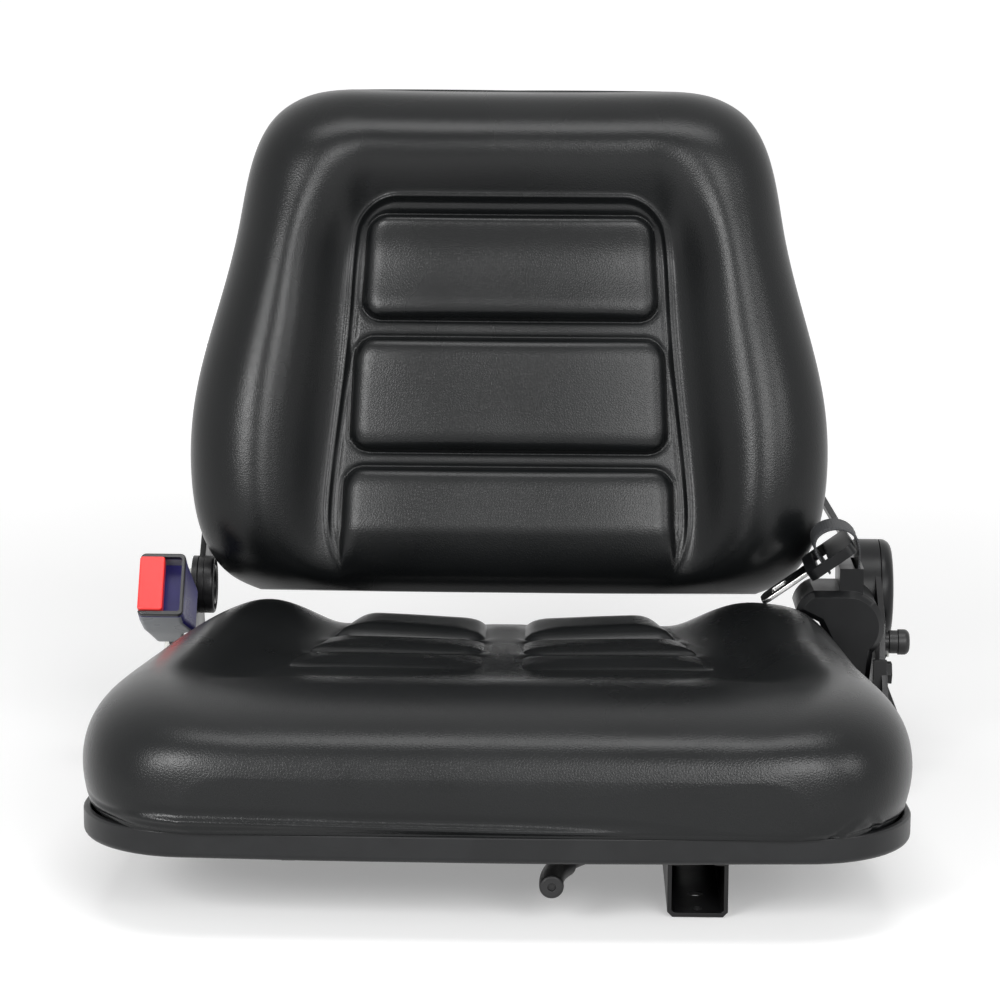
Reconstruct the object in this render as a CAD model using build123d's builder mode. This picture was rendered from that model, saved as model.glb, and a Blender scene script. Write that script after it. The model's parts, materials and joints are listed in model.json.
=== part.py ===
"""Tractor seat with an adjustable back, a sliding base and a lap belt. Sizes in mm, +Z up, -Y is the front."""

import os
from math import atan2, cos, radians, sin

from build123d import *

os.makedirs("parts", exist_ok=True)

# Where the seat sits: underside of the pan above the floor, front edge of the pan
PAN_Z = 48.0
PAN_FRONT = -215.0

# Seat pan
PAN_HALF = 248.0
PAN_REAR_HALF = 226.0
PAN_DEPTH = 425.0
PAN_BOW = 10.0
PAN_RIM = 16.5
PAN_FLOOR = 3.0
PAN_WALL = 5.0
FRONT_CORNER = 66.0
REAR_CORNER = 92.0

# Slide rails
RAIL_X = 119.5
RAIL_WIDTH = 36.0
RAIL_HEIGHT = 34.0
RAIL_GAUGE = 2.5
RAIL_LENGTH = 310.0
RAIL_HOLE_R = 4.5
RAIL_HOLE_SPACING = 230.0
RIGHT_RAIL_SETBACK = 60.0
LEFT_RAIL_SETBACK = 172.0
UPPER_LENGTH = 270.0
UPPER_SETBACK = 135.0
RUN_GAP = 0.3
LATCH_PITCH = 12.0
LATCH_SLOTS = 12

# Back: lean, lower rear edge, thickness of the shell
BACK_LEAN = 13.0
BACK_Y = 455.0
BACK_Z = 68.0
BACK_HEIGHT = 346.0
BACK_FLOOR = 44.0
PAD_RISE = 8.0
SHELL_DEPTH = 12.0
SHELL_WALL = 2.5
TOP_DROP = 10.0

# Recliner
AXIS_Y = 445.0
AXIS_Z = 70.0
PIN_R = 6.0
PIN_FIT = 0.05
HEAD_R = 36.0
CUP_WALL = 3.0
LEFT_HEAD_R = 20.0
PLATE = 4.0
RIGHT_PLATE_X = 252.0
LEFT_PLATE_X = -219.0
TEETH_R = 39.5
TEETH_ANGLE = -116.6
TOOTH_PITCH = 8.0

# Slide lever
LEVER_PIVOT = (80.0, 180.0)
LEVER_Z = -30.0
GRIP_END = (33.0, 30.0, -20.5)
GRIP_R = 7.2

# Belt
WEB_WIDTH = 47.0
WEB_GAUGE = 1.4
BELT_Y = 385.0
RETRACTOR_DEPTH = 46.0
TONGUE_GAUGE = 3.0

# Buckle
BUCKLE_RISE = 36.0
BUCKLE_FACE = (-233.5, 378.0, 84.0)
BUCKLE_WIDE = 46.0
BUCKLE_THICK = 31.0
BUCKLE_LENGTH = 62.0
STALK_REACH = 108.0
BEZEL = 2.5
BUTTON_TRAVEL = 6.0


def level(z):
    """Horizontal plane at a height above the pan's underside, y counted from the pan's front edge."""
    return Plane(origin=(0, PAN_FRONT, PAN_Z + z))


def side(x):
    """Upright fore-and-aft plane: local x runs back, local y runs up."""
    return Plane(origin=(x, PAN_FRONT, PAN_Z), x_dir=(0, 1, 0), z_dir=(1, 0, 0))


def front(y):
    """Upright cross plane: local x runs right, local y runs up, extrusion comes forward."""
    return Plane(origin=(0, PAN_FRONT + y, PAN_Z), x_dir=(1, 0, 0), z_dir=(0, -1, 0))


def back(n):
    """Plane of the back at a depth in front of its rear face: local y runs up the back."""
    lean = radians(BACK_LEAN)
    return Plane(
        origin=(0, PAN_FRONT + BACK_Y - n * cos(lean), PAN_Z + BACK_Z + n * sin(lean)),
        x_dir=(1, 0, 0),
        z_dir=(0, -cos(lean), sin(lean)),
    )


def back_side(x):
    """Fore-and-aft plane of the back: local x comes forward from its rear face, local y runs up it."""
    lean = radians(BACK_LEAN)
    return Plane(
        origin=(x, PAN_FRONT + BACK_Y, PAN_Z + BACK_Z),
        x_dir=(0, -cos(lean), sin(lean)),
        z_dir=(-1, 0, 0),
    )


def pan_outline(inset):
    """Plan of the pan with bowed front and round corners, drawn into the open sketch."""
    with BuildSketch() as outline:
        with BuildLine():
            ThreePointArc((-PAN_HALF, PAN_BOW), (0, 0), (PAN_HALF, PAN_BOW))
            Line((PAN_HALF, PAN_BOW), (PAN_REAR_HALF, PAN_DEPTH))
            Line((PAN_REAR_HALF, PAN_DEPTH), (-PAN_REAR_HALF, PAN_DEPTH))
            Line((-PAN_REAR_HALF, PAN_DEPTH), (-PAN_HALF, PAN_BOW))
        make_face()
        fillet(vertices().sort_by(Axis.Y)[:2], FRONT_CORNER)
        fillet(vertices().sort_by(Axis.Y)[-2:], REAR_CORNER)
        if inset:
            offset(amount=-inset, mode=Mode.REPLACE)
    return outline.sketch


def back_outline(inset):
    """Front view of the back drawn in by an inset: full at the hips, waisted above, a dipped top edge."""
    edge = (
        (172, 0),
        (200, 14),
        (215, 42),
        (220, 84),
        (215, 146),
        (200, 198),
        (189, 245),
        (177, 302),
        (160, 331),
        (138, 343),
        (108, 347),
        (50, 344),
        (0, 343),
    )
    across_scale = 1 - inset / 220
    up_scale = 1 - (2 * inset + TOP_DROP) / BACK_HEIGHT
    points = [(u * across_scale, inset + w * up_scale) for u, w in edge]
    with BuildSketch() as outline:
        with BuildLine():
            Spline(*points)
            Line((0, inset), points[0])
            mirror(about=Plane.YZ)
        make_face()
    return outline.sketch


# Slide rails: C channels with turned-in lips, open at both ends
def lower_rail_profile():
    """Half section of a lower rail, mirrored about its middle."""
    half = RAIL_WIDTH / 2
    top = RAIL_HEIGHT - PAN_Z
    with BuildSketch() as outline:
        with BuildLine():
            Polyline(
                (0, -PAN_Z),
                (half - 3, -PAN_Z),
                (half, 3 - PAN_Z),
                (half, top),
                (half - 8, top),
                (half - 8, top - RAIL_GAUGE),
                (half - RAIL_GAUGE, top - RAIL_GAUGE),
                (half - RAIL_GAUGE, 4 - PAN_Z),
                (half - 4, RAIL_GAUGE - PAN_Z),
                (0, RAIL_GAUGE - PAN_Z),
            )
            mirror(about=Plane.YZ)
        make_face()
    return outline.sketch


def lower_rail_holes(setback):
    """Two floor slots for the deck bolts and a small drain slot near the front end."""
    middle = setback + RAIL_LENGTH / 2
    with Locations((0, middle - RAIL_HOLE_SPACING / 2), (0, middle + RAIL_HOLE_SPACING / 2)):
        Circle(RAIL_HOLE_R)
    with Locations((0, setback + 10)):
        SlotOverall(8, 5.4, rotation=90)


right_rail_plane = front(RIGHT_RAIL_SETBACK)
right_rail_plane.origin = right_rail_plane.origin + Vector(RAIL_X, 0, 0)
with BuildPart() as right_lower_rail:
    with BuildSketch(right_rail_plane):
        add(lower_rail_profile())
    extrude(amount=-RAIL_LENGTH)
    floor_plane = Plane(origin=(RAIL_X, PAN_FRONT, 0))
    with BuildSketch(floor_plane):
        lower_rail_holes(RIGHT_RAIL_SETBACK)
    extrude(amount=RAIL_GAUGE, mode=Mode.SUBTRACT)
    with BuildSketch(side(RAIL_X - RAIL_WIDTH / 2)):
        with Locations((RIGHT_RAIL_SETBACK + 165, LEVER_Z)):
            with GridLocations(LATCH_PITCH, 0, LATCH_SLOTS, 1):
                Rectangle(7, 7)
    extrude(amount=RAIL_GAUGE, mode=Mode.SUBTRACT)
right_lower_rail.part.label = "right_lower_rail"
export_step(right_lower_rail.part, "parts/right_lower_rail.step")

left_rail_plane = front(LEFT_RAIL_SETBACK)
left_rail_plane.origin = left_rail_plane.origin + Vector(-RAIL_X, 0, 0)
with BuildPart() as left_lower_rail:
    with BuildSketch(left_rail_plane):
        add(lower_rail_profile())
    extrude(amount=-RAIL_LENGTH)
    with BuildSketch(Plane(origin=(-RAIL_X, PAN_FRONT, 0))):
        lower_rail_holes(LEFT_RAIL_SETBACK)
    extrude(amount=RAIL_GAUGE, mode=Mode.SUBTRACT)
left_lower_rail.part.label = "left_lower_rail"
export_step(left_lower_rail.part, "parts/left_lower_rail.step")


# Upper rails: hat sections that hang in the channels, bolted under the pan
WEB_HALF = 8.0
FLANGE_HALF = 13.5
FLANGE_TOP = -35.5
BOLT_X = 15.0
BOLT_R = 3.0
BOLT_Y = (155.0, 375.0)


def upper_rail_profile():
    """Half of the hat section, mirrored about its middle."""
    with BuildSketch() as outline:
        with BuildLine():
            Polyline(
                (0, 0),
                (22, 0),
                (22, -3),
                (WEB_HALF, -3),
                (WEB_HALF, FLANGE_TOP),
                (FLANGE_HALF, FLANGE_TOP),
                (FLANGE_HALF, FLANGE_TOP - RAIL_GAUGE),
                (WEB_HALF - RAIL_GAUGE, FLANGE_TOP - RAIL_GAUGE),
                (WEB_HALF - RAIL_GAUGE, -3),
                (0, -3),
            )
            mirror(about=Plane.YZ)
        make_face()
    return outline.sketch


def rail_bolt_places():
    """Centres of the four bolts of one rail."""
    return Locations((-BOLT_X, BOLT_Y[0]), (BOLT_X, BOLT_Y[0]), (-BOLT_X, BOLT_Y[1]), (BOLT_X, BOLT_Y[1]))


right_upper_plane = front(UPPER_SETBACK)
right_upper_plane.origin = right_upper_plane.origin + Vector(RAIL_X, 0, 0)
with BuildPart() as right_upper_rail:
    with BuildSketch(right_upper_plane):
        add(upper_rail_profile())
    extrude(amount=-UPPER_LENGTH)
    with BuildSketch(Plane(origin=(RAIL_X, PAN_FRONT, PAN_Z))):
        with rail_bolt_places():
            Circle(BOLT_R + 0.2)
    extrude(amount=-3, mode=Mode.SUBTRACT)
right_upper_rail.part.label = "right_upper_rail"
export_step(right_upper_rail.part, "parts/right_upper_rail.step")

left_upper_plane = front(UPPER_SETBACK)
left_upper_plane.origin = left_upper_plane.origin + Vector(-RAIL_X, 0, 0)
with BuildPart() as left_upper_rail:
    with BuildSketch(left_upper_plane):
        add(upper_rail_profile())
    extrude(amount=-UPPER_LENGTH)
    with BuildSketch(Plane(origin=(-RAIL_X, PAN_FRONT, PAN_Z))):
        with rail_bolt_places():
            Circle(BOLT_R + 0.2)
    extrude(amount=-3, mode=Mode.SUBTRACT)
left_upper_rail.part.label = "left_upper_rail"
export_step(left_upper_rail.part, "parts/left_upper_rail.step")

# Nylon glides clipped over the hat flanges, running in the channels
GLIDE_LENGTH = 24.0
GLIDE_Y = (205.0, 330.0)
with BuildPart() as rail_glides:
    inner = RAIL_WIDTH / 2 - RAIL_GAUGE - RUN_GAP
    low = RAIL_GAUGE - PAN_Z + RUN_GAP
    high = RAIL_HEIGHT - PAN_Z - RAIL_GAUGE - RUN_GAP
    for glide_y in GLIDE_Y:
        with BuildSketch(front(glide_y)):
            for rail_x in (-RAIL_X, RAIL_X):
                for hand in (-1, 1):
                    with Locations((rail_x + hand * (WEB_HALF + inner) / 2, (low + high) / 2)):
                        Rectangle(inner - WEB_HALF, high - low)
                    with Locations((rail_x + hand * (WEB_HALF + inner) / 2, low + 2)):
                        Rectangle(inner - WEB_HALF + 2.4, 4, mode=Mode.SUBTRACT)
                    with Locations((rail_x + hand * (WEB_HALF + FLANGE_HALF) / 2, FLANGE_TOP - RAIL_GAUGE / 2)):
                        Rectangle(FLANGE_HALF - WEB_HALF, RAIL_GAUGE, mode=Mode.SUBTRACT)
                    with Locations((rail_x + hand * (WEB_HALF + inner - 2.4) / 2, low + 2)):
                        Rectangle(inner - WEB_HALF - 2.4, 4)
        extrude(amount=GLIDE_LENGTH)
rail_glides.part.label = "rail_glides"
export_step(rail_glides.part, "parts/rail_glides.step")

# Side bracket bolts
BRACKET_BOLTS = ((200.0, 350.0), (200.0, 386.0), (-176.0, 360.0), (-176.0, 396.0))

# Seat pan: tray with a rounded rim, pressed beads and vent holes
with BuildPart() as seat_pan:
    with BuildSketch(level(0)):
        add(pan_outline(0))
    extrude(amount=PAN_RIM)
    fillet(faces().sort_by(Axis.Z)[0].edges(), 4.0)
    with BuildSketch(level(PAN_FLOOR)):
        add(pan_outline(PAN_WALL))
    extrude(amount=PAN_RIM, mode=Mode.SUBTRACT)
    fillet(faces().sort_by(Axis.Z)[-1].edges(), 1.6)
    with BuildSketch(level(0)):
        with Locations((0, 235)):
            with GridLocations(64, 0, 3, 1):
                SlotOverall(230, 18, rotation=90)
    extrude(amount=1.2, mode=Mode.SUBTRACT)
    with BuildSketch(level(0)):
        with Locations((-RAIL_X, 0), (RAIL_X, 0)):
            with rail_bolt_places():
                Circle(BOLT_R + 0.2)
        with Locations(*BRACKET_BOLTS):
            Circle(BOLT_R + 0.2)
        with Locations((0, 60)):
            with GridLocations(120, 0, 3, 1):
                Circle(6)
        with Locations((0, 390)):
            with GridLocations(120, 0, 2, 1):
                Circle(6)
        with Locations((LEVER_PIVOT[0], LEVER_PIVOT[1])):
            Circle(4.2)
    extrude(amount=PAN_FLOOR, mode=Mode.SUBTRACT)
seat_pan.part.label = "seat_pan"
export_step(seat_pan.part, "parts/seat_pan.step")

# Bolts that hold the rails and the brackets under the pan
with BuildPart() as pan_bolts:
    with BuildSketch(level(-3)):
        with Locations((-RAIL_X, 0), (RAIL_X, 0)):
            with rail_bolt_places():
                RegularPolygon(5.5, 6)
    extrude(amount=-4)
    with BuildSketch(level(-3)):
        with Locations((-RAIL_X, 0), (RAIL_X, 0)):
            with rail_bolt_places():
                Circle(BOLT_R)
    extrude(amount=3 + PAN_FLOOR)
    with BuildSketch(level(-PLATE)):
        with Locations(*BRACKET_BOLTS):
            RegularPolygon(5.5, 6)
    extrude(amount=-4)
    with BuildSketch(level(-PLATE)):
        with Locations(*BRACKET_BOLTS):
            Circle(BOLT_R)
    extrude(amount=PLATE + PAN_FLOOR)
pan_bolts.part.label = "pan_bolts"
export_step(pan_bolts.part, "parts/pan_bolts.step")

# Seat cushion stations: distance back, half width, crest out, crest up, dish half width, dish up
SEAT_STATIONS = (
    (0.0, 182.0, 140.0, 50.0, 90.0, 50.0),
    (9.0, 210.0, 168.0, 68.0, 112.0, 68.0),
    (30.0, 232.0, 188.0, 80.0, 132.0, 80.0),
    (70.0, 245.0, 202.0, 87.0, 150.0, 86.0),
    (112.0, 244.0, 202.0, 88.0, 164.0, 82.0),
    (155.0, 242.0, 197.0, 86.0, 152.0, 73.0),
    (230.0, 238.0, 188.0, 82.0, 138.0, 67.0),
    (310.0, 231.0, 178.0, 78.0, 125.0, 61.0),
    (365.0, 217.0, 168.0, 75.0, 117.0, 57.0),
    (402.0, 190.0, 158.0, 68.0, 111.0, 53.0),
    (419.0, 164.0, 140.0, 54.0, 100.0, 44.0),
    (425.0, 146.0, 124.0, 40.0, 90.0, 36.0),
)
DISH_REAR = (400.0, 53.0)
DISH_FRONT = (150.0, 74.0)
DISH_ANGLE = atan2(DISH_FRONT[1] - DISH_REAR[1], DISH_REAR[0] - DISH_FRONT[0])
# Pad rows: front edge, rear edge, counted forward from the dish's rear point
SEAT_PADS = ((-76.0, 2.0), (-164.0, -92.0), (-228.0, -178.0))
SEAT_PAD_RISE = 6.0
PAD_INNER = 13.0
PAD_OUTER = 92.0
PAD_FAN = 0.125
dish_plane = Plane(
    origin=(0, PAN_FRONT + DISH_REAR[0], PAN_Z + DISH_REAR[1]),
    x_dir=(1, 0, 0),
    z_dir=(0, sin(DISH_ANGLE), cos(DISH_ANGLE)),
)


def seat_section(half, crest_x, crest_z, dish_x, dish_z):
    """Closed section of the seat cushion above the rim, from its two crests down into the dish."""
    edge = [
        (half - 5, PAN_RIM),
        (half, PAN_RIM + 0.33 * (crest_z - PAN_RIM)),
        (half - 0.22 * (half - crest_x), PAN_RIM + 0.78 * (crest_z - PAN_RIM)),
        (crest_x, crest_z),
        (0.5 * (crest_x + dish_x), dish_z + 0.55 * (crest_z - dish_z)),
        (dish_x, dish_z),
        (0.55 * dish_x, dish_z),
    ]
    with BuildSketch() as outline:
        with BuildLine():
            Spline(*edge, (0, dish_z), *[(-x, z) for x, z in reversed(edge)])
            Line((edge[0][0], PAN_RIM), (-edge[0][0], PAN_RIM))
        make_face()
    return outline.sketch


with BuildPart() as seat_cushion:
    for station in SEAT_STATIONS:
        with BuildSketch(front(station[0])):
            add(seat_section(*station[1:]))
    loft()
    with BuildSketch(level(PAN_FLOOR)):
        add(pan_outline(PAN_WALL + 0.5))
    extrude(amount=PAN_RIM - PAN_FLOOR)
    with BuildSketch(dish_plane.offset(-6)):
        for near, far in SEAT_PADS:
            with BuildLine():
                Polyline(
                    (PAD_INNER, near),
                    (PAD_OUTER - PAD_FAN * near, near),
                    (PAD_OUTER - PAD_FAN * far, far),
                    (PAD_INNER, far),
                    close=True,
                )
            make_face()
        fillet(vertices(), 9)
        mirror(about=Plane.YZ)
    extrude(amount=6 + SEAT_PAD_RISE, taper=6)
seat_cushion.part.label = "seat_cushion"
export_step(seat_cushion.part, "parts/seat_cushion.step")

# Backrest cushion stations: height, half width, crest out, crest depth, recess half width, recess depth
BACK_STATIONS = (
    (0.0, 172.0, 134.0, 28.0, 100.0, 28.0),
    (11.0, 195.0, 152.0, 52.0, 118.0, 42.0),
    (32.0, 210.0, 165.0, 68.0, 130.0, 46.0),
    (72.0, 219.0, 170.0, 76.0, 132.0, BACK_FLOOR),
    (130.0, 217.0, 167.0, 77.0, 127.0, BACK_FLOOR),
    (190.0, 202.5, 157.0, 75.0, 120.0, BACK_FLOOR),
    (245.0, 189.0, 146.0, 73.0, 112.0, 46.0),
    (275.0, 184.0, 138.0, 72.0, 104.0, 60.0),
    (305.0, 176.0, 128.0, 70.0, 95.0, 69.0),
    (328.0, 162.0, 115.0, 57.0, 85.0, 57.0),
    (341.0, 143.0, 105.0, 39.0, 80.0, 39.0),
    (BACK_HEIGHT, 130.0, 95.0, 20.0, 70.0, 20.0),
)
# Backrest pads: lower edge, upper edge, half width below, half width above
BACK_PADS = ((14.0, 81.0, 120.0, 116.0), (91.5, 170.5, 114.0, 110.5), (182.5, 254.5, 105.0, 99.5))


def across(w):
    """Cross plane of the back at a height up it: local x runs right, local y comes forward."""
    lean = radians(BACK_LEAN)
    return Plane(
        origin=(0, PAN_FRONT + BACK_Y + w * sin(lean), PAN_Z + BACK_Z + w * cos(lean)),
        x_dir=(1, 0, 0),
        z_dir=(0, -sin(lean), -cos(lean)),
    )


def back_section(half, crest_x, crest_n, floor_x, floor_n):
    """Closed section of the backrest cushion, from its two bolster crests into the recess."""
    edge = [
        (half - 12, 0),
        (half, 0.42 * crest_n),
        (half - 0.25 * (half - crest_x), 0.8 * crest_n),
        (crest_x, crest_n),
        (0.5 * (crest_x + floor_x), floor_n + 0.55 * (crest_n - floor_n)),
        (floor_x, floor_n),
        (0.55 * floor_x, floor_n),
    ]
    with BuildSketch() as outline:
        with BuildLine():
            Spline(*edge, (0, floor_n), *[(-x, n) for x, n in reversed(edge)])
            Line((edge[0][0], 0), (-edge[0][0], 0))
        make_face()
    return outline.sketch


with BuildPart() as backrest_cushion:
    for station in BACK_STATIONS:
        with BuildSketch(across(station[0])):
            add(back_section(*station[1:]))
    loft()
    with BuildSketch(back(BACK_FLOOR - 8)):
        for low, high, low_half, high_half in BACK_PADS[1:]:
            with BuildLine():
                Polyline((-low_half, low), (low_half, low), (high_half, high), (-high_half, high), close=True)
            make_face()
        fillet(vertices(), 12)
    extrude(amount=8 + PAD_RISE, taper=6)
    # The lowest pad has no lower edge: it rolls under with the cushion
    low, high, low_half, high_half = BACK_PADS[0]
    with BuildSketch(back_side(high_half)):
        with BuildLine():
            Polyline((BACK_FLOOR - 10, high), (BACK_FLOOR + PAD_RISE - 1.5, high), (BACK_FLOOR + PAD_RISE, high - 5))
            Line((BACK_FLOOR + PAD_RISE, high - 5), (BACK_FLOOR + PAD_RISE, 46))
            ThreePointArc((BACK_FLOOR + PAD_RISE, 46), (BACK_FLOOR + 5, 26), (BACK_FLOOR - 10, low - 4))
            Line((BACK_FLOOR - 10, low - 4), (BACK_FLOOR - 10, high))
        make_face()
    extrude(amount=2 * high_half)
backrest_cushion.part.label = "backrest_cushion"
export_step(backrest_cushion.part, "parts/backrest_cushion.step")

# Backrest shell: thin tray behind the cushion with a raised panel
ARM_SCREWS = ((166.0, 131.0), (166.0, 157.0), (190.0, 144.0))
with BuildPart() as backrest_shell:
    with BuildSketch(back(0)):
        add(back_outline(13))
    extrude(amount=-SHELL_DEPTH)
    with BuildSketch(back(0)):
        add(back_outline(13 + SHELL_WALL))
    extrude(amount=SHELL_WALL - SHELL_DEPTH, mode=Mode.SUBTRACT)
    with BuildSketch(back(-SHELL_DEPTH)):
        with BuildLine():
            Polyline((-120, 50), (120, 50), (96, 290), (-96, 290), close=True)
        make_face()
        fillet(vertices(), 24)
    extrude(amount=-4, taper=30)
    with BuildSketch(back(-SHELL_DEPTH)):
        for hand in (-1, 1):
            with Locations(*[(hand * u, w) for u, w in ARM_SCREWS]):
                Circle(2.7)
    extrude(amount=SHELL_WALL, mode=Mode.SUBTRACT)
backrest_shell.part.label = "backrest_shell"
export_step(backrest_shell.part, "parts/backrest_shell.step")

# Side brackets: upright plates with a round head at the recliner axis and a flange under the pan
ANCHOR = (
    BUCKLE_FACE[1] + STALK_REACH * cos(radians(BUCKLE_RISE)),
    BUCKLE_FACE[2] - STALK_REACH * sin(radians(BUCKLE_RISE)),
)
RETRACTOR_BOLT = (376.0, 28.0)
PAWL_PIN = (AXIS_Y - 32.0, AXIS_Z - 34.0)
PAWL_PIN_R = 3.5
bracket_head = HEAD_R - CUP_WALL - 0.2
with BuildPart() as right_side_bracket:
    with BuildSketch(side(RIGHT_PLATE_X)):
        with BuildLine():
            Polyline(
                (334, -PLATE),
                (334, 14),
                (350, 32),
                (368, 38),
                (374, 62),
                (AXIS_Y - 17, AXIS_Z + 26),
                (AXIS_Y + bracket_head, AXIS_Z),
                (462, -PLATE),
                close=True,
            )
        make_face()
        with Locations((AXIS_Y, AXIS_Z)):
            Circle(bracket_head)
            Circle(PIN_R, mode=Mode.SUBTRACT)
        with Locations(RETRACTOR_BOLT):
            Circle(5, mode=Mode.SUBTRACT)
        with Locations(PAWL_PIN):
            Circle(PAWL_PIN_R, mode=Mode.SUBTRACT)
        with Locations((438, 16)):
            SlotOverall(34, 14, mode=Mode.SUBTRACT)
    extrude(amount=PLATE)
    with BuildSketch(level(-PLATE)):
        with Locations(((182 + RIGHT_PLATE_X + PLATE) / 2, 376)):
            Rectangle(RIGHT_PLATE_X + PLATE - 182, 84)
        with Locations(*BRACKET_BOLTS[:2]):
            Circle(BOLT_R + 0.2, mode=Mode.SUBTRACT)
    extrude(amount=PLATE)
    # Front flange of the plate, splayed out at its foot
    with BuildSketch(front(354)):
        with BuildLine():
            Polyline((RIGHT_PLATE_X - 1, 42), (RIGHT_PLATE_X - 1, 26), (RIGHT_PLATE_X + 10, -2))
        trace(line_width=9)
    extrude(amount=PLATE)
right_side_bracket.part.label = "right_side_bracket"
export_step(right_side_bracket.part, "parts/right_side_bracket.step")

with BuildPart() as left_side_bracket:
    with BuildSketch(side(LEFT_PLATE_X)):
        with BuildLine():
            Polyline(
                (404, -PLATE),
                (404, 30),
                (AXIS_Y - LEFT_HEAD_R, AXIS_Z),
                (AXIS_Y + LEFT_HEAD_R, AXIS_Z),
                (484, 30),
                (484, 4),
                (470, -PLATE),
                close=True,
            )
        make_face()
        with Locations((AXIS_Y, AXIS_Z)):
            Circle(LEFT_HEAD_R)
            Circle(PIN_R, mode=Mode.SUBTRACT)
        with Locations(ANCHOR):
            Circle(5, mode=Mode.SUBTRACT)
        with Locations((428, 18)):
            SlotOverall(24, 12, mode=Mode.SUBTRACT)
    extrude(amount=PLATE)
    with BuildSketch(level(-PLATE)):
        with Locations(((LEFT_PLATE_X - 152) / 2, 398)):
            Rectangle(-152 - LEFT_PLATE_X, 104)
        with Locations(*BRACKET_BOLTS[2:]):
            Circle(BOLT_R + 0.2, mode=Mode.SUBTRACT)
    extrude(amount=PLATE)
left_side_bracket.part.label = "left_side_bracket"
export_step(left_side_bracket.part, "parts/left_side_bracket.step")

# Pivot pins: shouldered pins held in the brackets, washers keep the arms on
ARM_GAP = 0.4
RIGHT_ARM_X = RIGHT_PLATE_X + PLATE + ARM_GAP
LEFT_ARM_X = LEFT_PLATE_X + PLATE + ARM_GAP
WASHER = 1.7
with BuildPart() as right_pivot_pin:
    with BuildSketch(side(RIGHT_PLATE_X)):
        with Locations((AXIS_Y, AXIS_Z)):
            Circle(10)
    extrude(amount=-6)
    with BuildSketch(side(RIGHT_PLATE_X)):
        with Locations((AXIS_Y, AXIS_Z)):
            Circle(PIN_R)
    extrude(amount=PLATE + ARM_GAP + PLATE + RUN_GAP)
    with BuildSketch(side(RIGHT_ARM_X + PLATE + RUN_GAP)):
        with Locations((AXIS_Y, AXIS_Z)):
            Circle(10)
    extrude(amount=WASHER)
right_pivot_pin.part.label = "right_pivot_pin"
export_step(right_pivot_pin.part, "parts/right_pivot_pin.step")

with BuildPart() as left_pivot_pin:
    with BuildSketch(side(LEFT_PLATE_X)):
        with Locations((AXIS_Y, AXIS_Z)):
            Circle(11)
    extrude(amount=-4)
    fillet(faces().sort_by(Axis.X)[0].edges(), 2)
    with BuildSketch(side(LEFT_PLATE_X)):
        with Locations((AXIS_Y, AXIS_Z)):
            Circle(PIN_R)
    extrude(amount=PLATE + ARM_GAP + PLATE + RUN_GAP)
    with BuildSketch(side(LEFT_ARM_X + PLATE + RUN_GAP)):
        with Locations((AXIS_Y, AXIS_Z)):
            Circle(10)
    extrude(amount=WASHER)
left_pivot_pin.part.label = "left_pivot_pin"
export_step(left_pivot_pin.part, "parts/left_pivot_pin.step")

# Drum round the head of the right bracket, housing the return spring
CUP_REACH = 14.0
with BuildPart() as recliner_cup:
    with BuildSketch(side(RIGHT_PLATE_X + PLATE)):
        with Locations((AXIS_Y, AXIS_Z)):
            Circle(HEAD_R)
    extrude(amount=-PLATE - CUP_REACH)
    fillet(faces().sort_by(Axis.X)[0].edges(), 3)
    with BuildSketch(side(RIGHT_PLATE_X + PLATE)):
        with Locations((AXIS_Y, AXIS_Z)):
            Circle(HEAD_R - CUP_WALL)
    extrude(amount=CUP_WALL - PLATE - CUP_REACH, mode=Mode.SUBTRACT)
    add(right_side_bracket.part, mode=Mode.SUBTRACT)
recliner_cup.part.label = "recliner_cup"
export_step(recliner_cup.part, "parts/recliner_cup.step")


def back_point(n, w):
    """Fore-and-aft place and height of a point of the back's own frame."""
    lean = radians(BACK_LEAN)
    return (BACK_Y - n * cos(lean) + w * sin(lean), BACK_Z + n * sin(lean) + w * cos(lean))


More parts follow.
